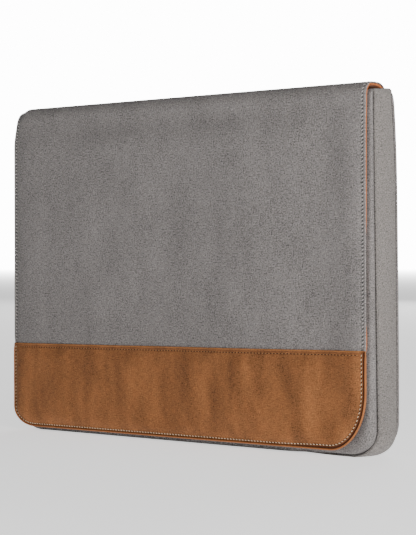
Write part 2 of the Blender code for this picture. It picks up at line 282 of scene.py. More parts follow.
class Panel:
    """A sheet with two round bottom corners: rings round its U edge and rows between them."""

    def __init__(self, half, bottom, corners, levels, arc=16, cols=80):
        self.half, self.bottom, self.corners = half, bottom, corners
        self.levels, self.arc, self.cols = list(levels), arc, cols
        self.nleft = len(self.levels) + arc + 1
        self.length = 2 * self.nleft + cols - 1

    def side(self, inset, corner):
        """Straight side and corner, for X > 0, from the top down."""
        a, b = max(corner[0] - inset, 2.0), max(corner[1] - inset, 2.0)
        x, z = self.half - inset, self.bottom + inset
        start = self.levels[-1] - 3.0
        t = np.linspace(0, math.pi / 2, 60)
        turn = [(x - a + a * math.cos(u), z + b - b * math.sin(u)) for u in t]
        line = np.array([(x, v) for v in np.linspace(start, z + b, 30)[:-1]] + turn)
        d = np.concatenate([[0], np.cumsum(np.hypot(*np.diff(line, axis=0).T))])
        u = np.linspace(0, d[-1], self.arc + 1)
        return [(x, v) for v in self.levels] + list(zip(np.interp(u, d, line[:, 0]), np.interp(u, d, line[:, 1])))

    def chain(self, inset):
        left = [(-x, z) for x, z in self.side(inset, self.corners[0])]
        right = self.side(inset, self.corners[1])
        across = [(x, self.bottom + inset) for x in np.linspace(left[-1][0], right[-1][0], self.cols + 1)[1:-1]]
        return np.array(left + across + right[::-1])

    def points(self, insets):
        rings = [self.chain(d) for d in insets]
        inner = rings[-1]
        t = np.linspace(0, 1, self.cols + 1)[1:-1, None]
        rows = [inner[k] * (1 - t) + inner[self.length - 1 - k] * t for k in range(self.nleft - 1)]
        ring = np.concatenate([np.full(self.length, float(i)) for i in range(len(insets))]
                              + [np.full((self.nleft - 1) * (self.cols - 1), float(len(insets) - 1))])
        return np.concatenate(rings + rows), ring

    def topology(self, n):
        length, cols, nleft = self.length, self.cols, self.nleft
        base = n * length
        faces = []
        for i in range(n - 1):
            q = np.arange(length - 1)
            faces.append(np.stack([i * length + q, i * length + q + 1, (i + 1) * length + q + 1, (i + 1) * length + q], 1))
        last = (n - 1) * length

        def row(k):
            if k == nleft - 1:
                return last + np.arange(nleft - 1, nleft + cols)
            return np.concatenate([[last + k], base + k * (cols - 1) + np.arange(cols - 1), [last + length - 1 - k]])

        for k in range(nleft - 1):
            a, b = row(k), row(k + 1)
            faces.append(np.stack([a[:-1], a[1:], b[1:], b[:-1]], 1))
        top = np.concatenate([[i * length + length - 1 for i in range(1, n)], row(0)[1:-1][::-1],
                              [i * length for i in range(n - 1, 0, -1)]]).astype(int)
        loop = np.concatenate([np.arange(length), top])
        return np.concatenate(faces), loop, length


def edge_distance(x, v, half, bottom, corners):
    """Distance from a point to the U edge of a panel."""
    x, v = np.broadcast_arrays(np.asarray(x, float), np.asarray(v, float))
    a0 = np.where(x < 0, corners[0][0], corners[1][0])
    b0 = np.where(x < 0, corners[0][1], corners[1][1])
    ax = np.abs(x)
    lo, hi = np.full(ax.shape, -6.0), np.maximum(np.minimum(half - ax, v - bottom), -6.0)
    for _ in range(24):
        d = (lo + hi) / 2
        a, b = np.maximum(a0 - d, 2.0), np.maximum(b0 - d, 2.0)
        cx, cz = half - d - a, bottom + d + b
        out = (ax > cx) & (v < cz) & (((ax - cx) / a) ** 2 + ((v - cz) / b) ** 2 > 1)
        lo, hi = np.where(out, lo, d), np.where(out, d, hi)
    return (lo + hi) / 2


def flap_edge(x, v):
    return edge_distance(x, v, FLAP_HALF, FLAP_BOTTOM, FLAP_CORNERS)


def close_shell(top, bot, quads, loop, out3, out2, uv, bulge, steps=4):
    """Joins two faces of a sheet round their edge with a rounded rim."""
    n, m = len(top), len(loop)
    o, i = top[loop], bot[loop]
    mid, h = (o + i) / 2, np.linalg.norm(o - i, axis=1)[:, None] / 2
    bulge = np.broadcast_to(np.asarray(bulge, float), (m,))[:, None]
    verts, uvs, rims = [top, bot], [uv, uv.copy()], [loop]
    base = 2 * n
    for j in range(1, steps):
        a = math.pi * j / steps
        verts.append(mid + math.cos(a) * (o - mid) + math.sin(a) * bulge * h * out3)
        uvs.append(uv[loop] + out2 * bulge * (j / steps) * 1.2)
        rims.append(base + np.arange(m))
        base += m
    rims.append(loop + n)
    faces = [quads, quads[:, ::-1] + n]
    k = np.arange(m)
    for a, b in zip(rims, rims[1:]):
        faces.append(np.stack([a[k], b[k], b[(k + 1) % m], a[(k + 1) % m]], 1))
    return np.concatenate(verts), np.concatenate(faces), np.concatenate(uvs)


def loop_out(points, loop, u_count):
    """Outward direction in the sheet's plane at each edge point."""
    p = points[loop]
    d = np.roll(p, -1, axis=0) - np.roll(p, 1, axis=0)
    n = np.stack([d[:, 1], -d[:, 0]], 1)
    centre = p.mean(0)
    if ((p - centre) * n).sum() < 0:
        n = -n
    n /= np.maximum(np.linalg.norm(n, axis=1), 1e-9)[:, None]
    return n


def grid_quads(rows, cols):
    i = np.arange(rows * cols).reshape(rows, cols)
    return np.stack([i[:-1, :-1], i[:-1, 1:], i[1:, 1:], i[1:, :-1]], -1).reshape(-1, 4)


def grid_loop(rows, cols):
    i = np.arange(rows * cols).reshape(rows, cols)
    return np.concatenate([i[0, :-1], i[:-1, -1], i[-1, :0:-1], i[:0:-1, 0]])


def sweep(name, spine, inward, section, uv_across, mats, relief=None, **options):
    """A closed section carried along a spine. section(k) gives (depth, y) points at spine point k."""
    spine, inward = np.asarray(spine, float), np.asarray(inward, float)
    n = len(spine)
    along = np.concatenate([[0], np.cumsum(np.linalg.norm(np.diff(spine, axis=0), axis=1))])
    rings, uvs, m = [], [], None
    for k in range(n):
        sec = np.asarray(section(k), float)
        m = len(sec)
        ring = spine[k] * np.array([1, 0, 1]) + inward[k] * sec[:, :1]
        ring[:, 1] = sec[:, 1]
        rings.append(ring)
        uvs.append(np.stack([np.asarray(uv_across), np.full(m, along[k])], 1))
    verts, uv = np.concatenate(rings), np.concatenate(uvs)
    q, k = np.arange(m), np.arange(n - 1)[:, None]
    faces = np.stack([k * m + q, k * m + (q + 1) % m, (k + 1) * m + (q + 1) % m, (k + 1) * m + q], -1).reshape(-1, 4).tolist()
    faces += [list(range(m)), list(range((n - 1) * m, n * m))]
    return to_object(name, verts, faces, uv, mats, **options)


def u_spine(half, corners, top, step=4.0, arc=26, bottom=0.0):
    """Points down one side, round the base and up the other, with their inward directions."""
    ends = []
    for radius in corners:
        count = int(round((top - radius) / step))
        end = [((-half, 0, z), (1, 0, 0)) for z in np.linspace(top, bottom + radius, count, endpoint=False)]
        for i in range(arc + 1):
            a = math.pi + math.pi / 2 * i / arc
            c, s = math.cos(a), math.sin(a)
            end.append(((-(half - radius) + radius * c, 0, bottom + radius + radius * s), (-c, 0, -s)))
        ends.append(end)
    left, right = ends[0], [((-p[0], 0, p[2]), (-d[0], 0, d[2])) for p, d in reversed(ends[1])]
    across = int(round((2 * half - sum(corners)) / step))
    mid = [((x, 0, bottom), (0, 0, 1)) for x in np.linspace(left[-1][0][0], right[0][0][0], across + 1)[1:-1]]
    everything = left + mid + right
    return np.array([p for p, _ in everything], float), np.array([d for _, d in everything], float)


# ------------------------------------------------------------------ materials
class Graph:
    """Short names for building a node material."""

    def __init__(self, name):
        self.mat = bpy.data.materials.new(name)
        self.mat.use_nodes = True
        self.tree = self.mat.node_tree
        self.shader = self.tree.nodes["Principled BSDF"]
        self.uv = self.node("ShaderNodeUVMap", uv_map="cloth").outputs["UV"]

    def node(self, kind, **settings):
        n = self.tree.nodes.new(kind)
        for k, v in settings.items():
            setattr(n, k, v)
        return n

    def put(self, socket, value):
        if hasattr(value, "is_output"):
            self.tree.links.new(value, socket)
        elif value is not None:
            socket.default_value = value

    def maths(self, op, a, b=None, c=None, clamp=False):
        n = self.node("ShaderNodeMath", operation=op, use_clamp=clamp)
        for s, v in zip(n.inputs, (a, b, c)):
            self.put(s, v)
        return n.outputs[0]

    def add(self, a, b): return self.maths("ADD", a, b)
    def sub(self, a, b): return self.maths("SUBTRACT", a, b)
    def mul(self, a, b): return self.maths("MULTIPLY", a, b)

    def stretch(self, sx, sy, shift=(0, 0, 0), turn=0.0):
        n = self.node("ShaderNodeMapping")
        self.put(n.inputs["Vector"], self.uv)
        n.inputs["Scale"].default_value = (sx, sy, 1)
        n.inputs["Location"].default_value = shift
        n.inputs["Rotation"].default_value = (0, 0, turn)
        return n.outputs[0]

    def noise(self, vector, scale, detail=2.0, rough=0.5, distort=0.0):
        """Noise spread round zero."""
        n = self.node("ShaderNodeTexNoise")
        self.put(n.inputs["Vector"], vector)
        n.inputs["Scale"].default_value = scale
        n.inputs["Detail"].default_value = detail
        n.inputs["Roughness"].default_value = rough
        n.inputs["Distortion"].default_value = distort
        return self.sub(n.outputs["Fac"], 0.5)

    def attribute(self, name):
        return self.node("ShaderNodeAttribute", attribute_name=name).outputs["Fac"]

    def split(self, vector):
        n = self.node("ShaderNodeSeparateXYZ")
        self.put(n.inputs[0], vector)
        return n.outputs[0], n.outputs[1]

    def weave(self, pitch_mm):
        """Height of a plain weave, about -1..1, with its threads wandering a little."""
        wander = self.mul(self.noise(self.uv, 1.6, 2.0), 0.10)
        u, v = self.split(self.uv)
        k = 2 * math.pi / (pitch_mm / 10.0) / 2
        su = self.maths("SINE", self.mul(self.add(u, wander), k))
        sv = self.maths("SINE", self.mul(self.add(v, wander), k))
        over = self.mul(su, sv)
        warp_ = self.maths("ABSOLUTE", su)
        weft = self.maths("ABSOLUTE", sv)
        pick = self.maths("GREATER_THAN", over, 0.0)
        return self.add(self.mul(warp_, pick), self.mul(weft, self.sub(1.0, pick)))

    def tint(self, base, *levels):
        """Base colour times one plus the sum of the levels."""
        total = 1.0
        for x in levels:
            total = self.add(x, total)
        n = self.node("ShaderNodeVectorMath", operation="SCALE")
        if hasattr(base, "is_output"):
            self.put(n.inputs[0], base)
        else:
            n.inputs[0].default_value = base
        self.put(n.inputs["Scale"], total)
        return n.outputs[0]

    def blend(self, fac, a, b):
        n = self.node("ShaderNodeMix", data_type="RGBA")
        self.put(n.inputs["Factor"], fac)
        for s, v in ((n.inputs["A"], a), (n.inputs["B"], b)):
            self.put(s, v if hasattr(v, "is_output") else (*v, 1.0))
        return n.outputs["Result"]

    def finish(self, colour, rough, height=None, distance=0.1, strength=1.0, sheen=0.0, sheen_tint=(1, 1, 1), **values):
        s = self.shader
        self.put(s.inputs["Base Color"], colour)
        self.put(s.inputs["Roughness"], rough)
        s.inputs["Sheen Weight"].default_value = sheen
        s.inputs["Sheen Roughness"].default_value = 0.5
        s.inputs["Sheen Tint"].default_value = (*sheen_tint, 1)
        s.inputs["Specular IOR Level"].default_value = values.get("specular", 0.25)
        s.inputs["Metallic"].default_value = values.get("metallic", 0.0)
        if height is not None:
            b = self.node("ShaderNodeBump")
            b.inputs["Distance"].default_value = distance * MM
            b.inputs["Strength"].default_value = strength
            self.put(b.inputs["Height"], height)
            self.put(s.inputs["Normal"], b.outputs["Normal"])
        return self.mat


def canvas_material(name, base, grain=1.0, mottle=1.0):
    g = Graph(name)
    weave = g.weave(0.62)
    speck = g.noise(g.uv, 9.0, 2.0, 0.6)                    # flecks of one or two threads
    weft = g.noise(g.stretch(1.0, 11.0), 1.9, 2.0, 0.6)     # uneven threads, both ways
    warp_ = g.noise(g.stretch(12.0, 1.0, (3.1, 7.7, 0)), 1.7, 2.0, 0.6)
    cloud = g.noise(g.stretch(1.0, 0.45, (5.0, 1.0, 0)), 0.42, 3.0, 0.55)
    patch = g.noise(g.stretch(1.0, 0.7, (1.0, 9.0, 0)), 1.4, 2.0, 0.5)
    # The first mask lightens worn edges and paints a highlight on the flap's edge, and paints shade where it is
    # negative; the second darkens as painted shade.
    rub_and_painted_light = g.attribute("worn_and_painted_light")
    painted_shade_mask = g.attribute("painted_shade")
    colour = g.tint(base, g.mul(speck, 2.6 * grain), g.mul(weft, 1.1 * grain), g.mul(warp_, 1.0 * grain),
                    g.mul(cloud, 0.55 * mottle), g.mul(patch, 0.25 * mottle),
                    g.mul(g.sub(weave, 0.64), 0.22 * grain), g.mul(rub_and_painted_light, 0.30), g.mul(painted_shade_mask, -0.35))
    warm = g.noise(g.stretch(1.0, 1.0, (11.0, 4.0, 0)), 2.6, 2.0, 0.6)
    colour = g.blend(g.maths("MULTIPLY_ADD", warm, 0.9, 0.25, clamp=True), colour, g.tint(colour_shift(g, colour), 0.0))
    height = g.add(g.mul(weave, 0.6), g.add(g.mul(speck, 1.4), g.mul(g.add(weft, warp_), 0.5)))
    rough = g.maths("MULTIPLY_ADD", speck, 0.12, 0.92, clamp=True)
    return g.finish(colour, rough, height, 0.14, 0.55, sheen=0.04)


def colour_shift(g, colour):
    """The same colour, a little warmer."""
    n = g.node("ShaderNodeVectorMath", operation="MULTIPLY")
    g.put(n.inputs[0], colour)
    n.inputs[1].default_value = (1.05, 1.0, 0.94)
    return n.outputs[0]


def suede_material(name, base, groove_shade, bright):
    g = Graph(name)
    nap = g.noise(g.stretch(1.0, 0.36, (0.6, 0, 0), 0.30), 0.62, 1.5, 0.45, 0.3)       # strokes of the nap, upright
    cloud = g.noise(g.stretch(1.0, 0.8, (4, 2, 0)), 1.6, 3.0, 0.6, 0.8)
    fibre = g.noise(g.uv, 10.5, 3.0, 0.6)
    weave = g.weave(0.8)
    rows = g.noise(g.stretch(1.0, 9.0, (2, 5, 0)), 2.2, 2.0, 0.6)
    cols = g.noise(g.stretch(9.0, 1.0, (7, 3, 0)), 2.2, 2.0, 0.6)
    colour = g.tint(base, g.mul(nap, 1.2), g.mul(cloud, 0.35), g.mul(fibre, 2.3), g.mul(rows, 1.4),
                    g.mul(cols, 1.2), g.mul(g.sub(weave, 0.64), 0.12))
    red = g.maths("MULTIPLY_ADD", cloud, 1.2, 0.3, clamp=True)
    n = g.node("ShaderNodeVectorMath", operation="MULTIPLY")
    g.put(n.inputs[0], colour)
    n.inputs[1].default_value = (1.02, 0.90, 0.84)
    colour = g.blend(red, colour, n.outputs[0])
    # Painted shade: the groove by the binding and the top stitch rows are blended to a near-black brown. The lighter
    # dressed top edge that follows is the suede's own colour.
    colour = g.blend(g.attribute("painted_shade"), colour, groove_shade)
    colour = g.blend(g.attribute("worn_and_painted_light"), colour, bright)
    height = g.add(g.mul(fibre, 1.6), g.add(g.mul(weave, 0.25), g.mul(cloud, 0.8)))
    rough = g.maths("MULTIPLY_ADD", nap, 0.15, 0.93, clamp=True)
    return g.finish(colour, rough, height, 0.13, 0.5, sheen=0.05, sheen_tint=(1.0, 0.55, 0.3))


def lining_material(name, base):
    g = Graph(name)
    u, v = g.split(g.uv)
    twill = g.maths("SINE", g.mul(g.add(u, g.add(v, g.mul(g.noise(g.uv, 2.0), 0.08))), 2 * math.pi / 0.11))
    thread = g.noise(g.stretch(1.0, 8.0), 2.4, 2.0, 0.6)
    cloud = g.noise(g.stretch(1.0, 0.6), 0.6, 3.0, 0.5)
    fleck = g.noise(g.uv, 8.0, 2.0)
    colour = g.tint(base, g.mul(twill, 0.07), g.mul(thread, 0.25), g.mul(cloud, 0.22), g.mul(fleck, 0.25))
    return g.finish(colour, g.maths("MULTIPLY_ADD", fleck, 0.2, 0.8, clamp=True), g.add(g.mul(twill, 0.5), thread), 0.10, 0.7, sheen=0.1)


def leather_material(name, base, scuffed):
    g = Graph(name)
    grain = g.noise(g.uv, 11.0, 3.0, 0.6)
    cloud = g.noise(g.stretch(1.0, 0.25), 2.0, 3.0, 0.6)
    colour = g.tint(base, g.mul(grain, 0.35), g.mul(cloud, 0.45))
    colour = g.blend(g.maths("MULTIPLY_ADD", cloud, 1.6, 0.25, clamp=True), colour, scuffed)
    return g.finish(colour, g.maths("MULTIPLY_ADD", grain, 0.35, 0.62, clamp=True), g.add(grain, g.mul(cloud, 0.6)), 0.12, 0.8, specular=0.35)


def thread_material(name, base):
    g = Graph(name)
    u, v = g.split(g.uv)
    ply = g.maths("SINE", g.mul(g.add(g.mul(u, 1.3), v), 2 * math.pi / 0.045))
    fuzz = g.noise(g.uv, 22.0, 2.0)
    colour = g.tint(base, g.mul(ply, 0.14), g.mul(fuzz, 0.35))
    return g.finish(colour, g.maths("MULTIPLY_ADD", fuzz, 0.3, 0.72, clamp=True), g.add(ply, fuzz), 0.05, 0.7)


def steel_material(name):
    g = Graph(name)
    brushed = g.noise(g.stretch(1.0, 30.0), 3.0, 3.0)
    colour = g.tint((0.52, 0.53, 0.55), g.mul(brushed, 0.3))
    return g.finish(colour, g.maths("MULTIPLY_ADD", brushed, 0.3, 0.36, clamp=True), brushed, 0.02, 0.5, metallic=1.0, specular=0.5)


GREY = (0.166, 0.1555, 0.153)
# the gusset's canvas, a shade warmer than GREY: painted warm light on the side the key faces
GREY_WARM_LIT_SIDE = (0.168, 0.156, 0.149)
SUEDE = (0.203, 0.083, 0.0300)
BRIGHT = (0.42, 0.165, 0.052)
# near-black brown painted as shade in the suede band's groove and stitch rows
GROOVE_SHADE = (0.060, 0.018, 0.007)
CANVAS = canvas_material("sleeve_canvas", GREY, 1.15)
CANVAS_SIDE = canvas_material("sleeve_canvas_gusset", GREY_WARM_LIT_SIDE, 1.05, 0.35)
SUEDE_MAT = suede_material("tan_suede", SUEDE, GROOVE_SHADE, BRIGHT)
LINING = lining_material("orange_lining", (0.38, 0.108, 0.026))
BINDING = leather_material("orange_binding", (0.27, 0.088, 0.022), (0.38, 0.145, 0.045))
CREAM = thread_material("cream_thread", (0.66, 0.50, 0.33))
TAN_THREAD = thread_material("tan_thread", (0.29, 0.135, 0.050))
GREY_THREAD = thread_material("grey_thread", (0.44, 0.42, 0.405))
# near-black discs laid at the needle holes between stitches: painted shade
HOLE_SHADE_GREY = thread_material("needle_hole_shade_grey", (0.012, 0.011, 0.011))
HOLE_SHADE_BROWN = thread_material("needle_hole_shade_brown", (0.022, 0.008, 0.004))
STEEL = steel_material("magnet_steel")


# ------------------------------------------------------------------ flap surface
STITCH = 3.1                       # stitch row to the flap's edge
BAND_STITCH = 3.5
TOP_STITCH = 3.3


def flap_relief(x, v):
    """How far the flap's canvas stands proud of the CAD face."""
    e = flap_edge(x, v)
    fade = smooth((FRONT_V - 3 - v) / 26)
    crown = 2.7 * (1 - np.exp(-np.maximum(e - STITCH, 0) / 9.5))
    groove = -0.42 * bump_at(e, STITCH, 0.8) * smooth((v - BAND_TOP + 4) / 4)
    waves = sample(FLAP_CLOTH, (x + FLAP_HALF) / (2 * FLAP_HALF), (v - 76) / 192) * smooth((e - 8) / 30)
    folds = 2.0 * bump_at(x, 66, 44) - 2.3 * bump_at(x, 146, 22) + 0.8 * bump_at(x, -95, 50) - 0.5 * bump_at(x, -10, 26)
    lift = 0.9 * smooth((BAND_TOP + 26 - v) / 27)
    return (crown + 0.9 * waves + folds * smooth((e - 6) / 20)) * fade * smooth((e - STITCH) / 3) \
        + groove * smooth((CROWN + 12 - v) / 6) + lift * smooth(e / 8)


def on_flap(x, v, lift=0.0, relief=1.0):
    """3-D points on the flap at unrolled coordinates."""
    s = s_of(v)
    y, z, ny, nz = path(s)
    h = flap_relief(x, v) * relief + lift
    return np.stack([np.broadcast_to(x, y.shape) + 0 * y, y + ny * h, z + nz * h], 1)


def flap_normal(v):
    y, z, ny, nz = path(s_of(v))
    return np.stack([np.zeros_like(ny), ny, nz], 1)


EDGE_RINGS = [0, 0.3, 0.7, 1.1, 1.45, 1.75, 2.05, 2.35, 2.65, 2.95, 3.3, 3.8, 4.5, 5.5, 7.0, 9.0, 12, 15, 19, 23]


_lo, _hi = box_mm("flap_magnet_right")
MAGNET = ((_lo[0] + _hi[0]) / 2, (_lo[2] + _hi[2]) / 2, (_hi[0] - _lo[0]) / 2, _hi[1])    # x, z, radius, back


def lining_tuck(v):
    """The lining shows past the canvas near the crown and just over the band, and is turned in elsewhere."""
    return np.interp(v, [0, BAND_TOP - 3, BAND_TOP + 1, BAND_TOP + 13, BAND_TOP + 22, 158, 172, 220, 400],
                     [2.2, 2.2, 0.5, 0.5, 1.6, 1.6, 0.7, 0.5, 0.1])


def flap_sheet_front(name, depth0, depth1, mats, relief, lining=False):
    """The flap in front of its split, from just behind the crown to its lower edge."""
    levels = list(np.linspace(SPLIT_V, FRONT_V - 4, 26)) + list(np.linspace(FRONT_V - 4, 96, 52))[1:] \
        + list(np.linspace(96, 52, 16))[1:]
    panel = Panel(FLAP_HALF, FLAP_BOTTOM, FLAP_CORNERS, levels, arc=22, cols=84)
    half_t = (depth1 - depth0) / 2
    insets = [half_t * 0.8 + d for d in EDGE_RINGS]
    p, ring = panel.points(insets)
    quads, loop, u_count = panel.topology(len(insets))
    x, v = p[:, 0], p[:, 1]
    e = flap_edge(x, v)
    deep = np.full(len(x), depth1)
    if lining:
        x = x - np.sign(x) * lining_tuck(v) * smooth((12 - e) / 8)
        v = v + 1.8 * smooth((14 - (v - FLAP_BOTTOM)) / 10)
        deep = depth1 - 0.35 * smooth((262 - v) / 20)
    else:
        v = v + 0.5 * smooth((10 - (v - FLAP_BOTTOM)) / 8)
        x = x - np.sign(x) * (0.5 * smooth((BAND_TOP - v) / 3) + 0.5 * smooth((262 - v) / 20) * (x > 0)) * smooth((8 - e) / 5)
    top = on_flap(x, v, -depth0, relief)
    bot = on_flap(x, v, -deep, relief)
    if lining:
        # the lining is stretched over the two magnets
        for sign in (-1, 1):
            away = np.hypot(x - sign * MAGNET[0], v - MAGNET[1])
            over = smooth((MAGNET[2] + 6.5 - away) / 6.0)[:, None]
            cover = np.array([0, MAGNET[3] + 0.95, 0])
            bot[:, 1:2] = np.where(bot[:, 1:2] < cover[1], bot[:, 1:2] * (1 - over) + cover[1] * over, bot[:, 1:2])
            top[:, 1:2] = np.where(top[:, 1:2] < cover[1] - 0.6, top[:, 1:2] * (1 - over) + (cover[1] - 0.6) * over, top[:, 1:2])
    out2 = loop_out(p, loop, u_count)
    eps = 0.01
    out3 = on_flap(p[loop, 0] + out2[:, 0] * eps, p[loop, 1] + out2[:, 1] * eps, 0, 0) - on_flap(p[loop, 0], p[loop, 1], 0, 0)
    out3 /= np.maximum(np.linalg.norm(out3, axis=1), 1e-9)[:, None]
    bulge = np.ones(len(loop))
    bulge[p[loop, 1] > SPLIT_V - 0.01] = 0.0
    verts, faces, uv = close_shell(top, bot, quads, loop, out3, out2, p.copy(), bulge)
    n_extra = len(verts) - 2 * len(p)
    # The first mask paints shade in the stitch groove; the second lightens the canvas edge and its rim, for edge wear
    # and a painted highlight where the rounded edge catches the light.
    painted_shade = np.concatenate([bump_at(e, STITCH, 0.8), np.zeros(len(p) + n_extra)])
    worn_and_painted_light = np.concatenate([smooth((1.9 - e) / 1.2), np.zeros(len(p)), np.full(n_extra, 1.0)]) * (not lining)
    return to_object(name, verts, faces, uv, mats, edge=painted_shade, wear=worn_and_painted_light, hung=True)


def half_width(s, inset):
    """The flap narrows where it goes down between the pouch's sides."""
    return (MOUTH_HALF - 0.2) + (FLAP_HALF - MOUTH_HALF + 0.2) * smooth((s - 6.2) / 1.8) - inset


def flap_sheet_rear(name, depth0, depth1, mats, relief, lining=False):
    """The flap behind its split: up from the back panel and over the mouth."""
    half_t = (depth1 - depth0) / 2
    rings = [half_t * 0.8 + d for d in EDGE_RINGS]
    inner = FLAP_HALF - rings[-1]
    cols = [-(FLAP_HALF - d) for d in rings] + list(np.linspace(-inner, inner, 85)[1:-1]) + [FLAP_HALF - d for d in reversed(rings)]
    cols = np.array(cols)
    rows = np.concatenate([np.linspace(-6, 6, 9)[:-1], np.linspace(6, 8.4, 9)[:-1], np.linspace(8.4, SPLIT, 16)])
    s, x = np.meshgrid(rows, cols, indexing="ij")
    shape = s.shape
    s, x = s.ravel(), x.ravel()
    squeeze = half_width(s, 0) / FLAP_HALF
    xx = np.sign(x) * (half_width(s, 0) - (FLAP_HALF - np.abs(x)))
    xx = np.where(np.abs(x) > inner - 1, xx, x * (half_width(s, 0) - rings[-1]) / inner)
    v = FRONT_S + FRONT_V - s
    if lining:
        e = half_width(s, 0) - np.abs(xx)
        xx = xx - np.sign(xx) * lining_tuck(v) * smooth((12 - e) / 8) * smooth((s - 8) / 3)
    top, bot = on_flap(xx, v, -depth0, relief), on_flap(xx, v, -depth1, relief)
    quads, loop = grid_quads(*shape), grid_loop(*shape)
    flat = np.stack([xx, v], 1)
    out2 = loop_out(flat, loop, 0)
    out3 = on_flap(flat[loop, 0] + out2[:, 0] * .01, flat[loop, 1] + out2[:, 1] * .01, 0, 0) - on_flap(flat[loop, 0], flat[loop, 1], 0, 0)
    out3 /= np.maximum(np.linalg.norm(out3, axis=1), 1e-9)[:, None]
    bulge = np.ones(len(loop))
    bulge[s[loop] > SPLIT - 0.01] = 0.0
    verts, faces, uv = close_shell(top, bot, quads, loop, out3, out2, flat, bulge)
    e = half_width(s, 0) - np.abs(xx)
    n_extra = len(verts) - 2 * len(flat)
    # The first mask paints shade in the stitch groove; the second lightens the canvas edge and its rim, for edge wear
    # and a painted highlight where the rounded edge catches the light.
    painted_shade = np.concatenate([bump_at(e, STITCH, 0.8), np.zeros(len(flat) + n_extra)])
    worn_and_painted_light = np.concatenate([smooth((1.9 - e) / 1.2), np.zeros(len(flat)), np.full(n_extra, 1.0)]) * (not lining)
    return to_object(name, verts, faces, uv, mats, edge=painted_shade, wear=worn_and_painted_light)


FLAP_T = 0.95
flap_front = flap_sheet_front("flap_front_canvas", 0.0, FLAP_T, [CANVAS], 1.0)
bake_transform(flap_front)
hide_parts("flap_canvas")
flap_rear = flap_sheet_rear("flap_crown_canvas", 0.0, FLAP_T, [CANVAS], 1.0)
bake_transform(flap_rear)
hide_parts("fold_canvas", "flap_root_canvas")
under_front = flap_sheet_front("flap_front_lining", FLAP_T + 0.12, 2.7, [LINING], 0.85, True)
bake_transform(under_front)
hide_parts("flap_lining", "flap_interlining")
under_rear = flap_sheet_rear("flap_crown_lining", FLAP_T + 0.12, 2.95, [LINING], 0.85, True)
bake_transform(under_rear)
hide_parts("fold_lining", "flap_root_lining")


# ------------------------------------------------------------------ suede band
BAND_T = 1.0
BAND_RINGS = [0, 0.25, 0.5, 0.8, 1.1, 1.4, 1.65, 1.9, 2.2, 2.5, 2.75, 3.0, 3.3, 3.7, 4.2, 5.0, 6.2, 8.0, 10.5, 13, 16, 20]


def band_relief(x, z, e, t):
    """Relief of the suede over the canvas: e from the U edge and t below its upper edge."""
    waves = sample(BAND_CLOTH, (x + FLAP_HALF) / (2 * FLAP_HALF), (z - FLAP_BOTTOM) / 74)
    ridge = np.zeros_like(x)
    for centre, width, size in ((-128, 17, 0.9), (-84, 14, 0.35), (-45, 13, 0.55), (-10, 12, -0.15), (20, 13, 0.55),
                                (47, 12, -0.3), (66, 13, 0.7), (104, 16, -0.1), (130, 14, 0.75), (158, 11, -0.25)):
        lean = centre + (z - 40) * 0.16 * math.sin(centre * 0.31)
        ridge += size * bump_at(x, lean, width)
    body = smooth((e - 4.3) / 10) * smooth((t - 4) / 9)
    shape = (0.9 * waves + 2.3 * ridge) * body
    puff = 0.45 * (1 - np.exp(-np.maximum(e - BAND_STITCH, 0) / 2.6)) * (1 - np.exp(-np.maximum(t - TOP_STITCH, 0) / 3.2))
    sunk = -0.62 * smooth((2.75 - e) / 0.45) - 0.28 * bump_at(e, BAND_STITCH, 0.55)
    top_row = -0.24 * bump_at(t, TOP_STITCH, 0.6) - 0.16 * bump_at(t, 1.7, 0.45) + 0.14 * bump_at(t, 0.7, 0.6)
    return shape + puff + sunk * smooth(t / 0.8) + top_row * smooth((e - 2.8) / 1.0)


def near_edge(x, z):
    """The seam along the bottom and the left side runs nearer the edge."""
    return smooth((150 - x) / 50) * np.maximum(smooth((24 - z) / 16), smooth((-x - 140) / 30))


def band_edge(x, z):
    return flap_edge(x, z) * (1 + 0.45 * near_edge(x, z))


def band_point(x, z, lift=0.0):
    """Points on the band's outer face, for the parts sewn to it. z is measured on the untilted band."""
    e = band_edge(x, z)
    y = FLAP_FACE - flap_relief(x, z) - BAND_T - band_relief(x, z, e, BAND_TOP - z) - lift
    return np.stack([x, y, z], 1)


levels = [BAND_TOP - 0.5 - d for d in (0, 0.35, 0.7, 1.05, 1.4, 1.75, 2.1, 2.5, 2.9, 3.3, 3.8, 4.5, 5.6, 7.2, 9.2, 11.6, 14.2)]
levels += list(np.linspace(levels[-1], 51, 5))[1:]
panel = Panel(FLAP_HALF, FLAP_BOTTOM, FLAP_CORNERS, levels, arc=34, cols=112)
insets = [1.0 + d for d in BAND_RINGS]
p, ring = panel.points(insets)
quads, loop, u_count = panel.topology(len(insets))
top = band_point(p[:, 0], p[:, 1])
bot = top.copy()
bot[:, 1] = FLAP_FACE - flap_relief(p[:, 0], top[:, 2]) - 0.03
out2 = loop_out(p, loop, u_count)
out3 = np.stack([out2[:, 0], np.zeros(len(loop)), out2[:, 1]], 1)
verts, faces, uv = close_shell(top, bot, quads, loop, out3, out2, p.copy(), 1.0, steps=5)
e = band_edge(p[:, 0], p[:, 1])
t = BAND_TOP - p[:, 1]
extra = len(verts) - 2 * len(p)
# Painted shade: darkens the sunk groove by the binding and the two top stitch rows.
groove = np.maximum(smooth((2.85 - e) / 0.5), 0.55 * bump_at(e, BAND_STITCH, 0.5)) * smooth((t - 0.5) / 0.5)
groove *= 1 - 0.45 * near_edge(p[:, 0], p[:, 1])
groove = np.maximum(groove, 0.5 * bump_at(t, TOP_STITCH, 0.55) * smooth((e - 3) / 1))
groove = np.maximum(groove, 0.45 * bump_at(t, 1.75, 0.35) * smooth((e - 3) / 1))
rim_top = (out2[:, 1] > 0.7).astype(float)
painted_shade = np.concatenate([np.clip(groove, 0, 1), np.zeros(len(p) + extra)])
worn_and_painted_light = np.concatenate([smooth((1.2 - t) / 0.5) * 0.35, np.zeros(len(p)), np.tile(0.35 * rim_top, extra // len(loop))])
band = to_object("suede_band", verts, faces, uv, [SUEDE_MAT], body="flap", edge=painted_shade, wear=worn_and_painted_light, hung=True)
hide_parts("flap_suede_band")


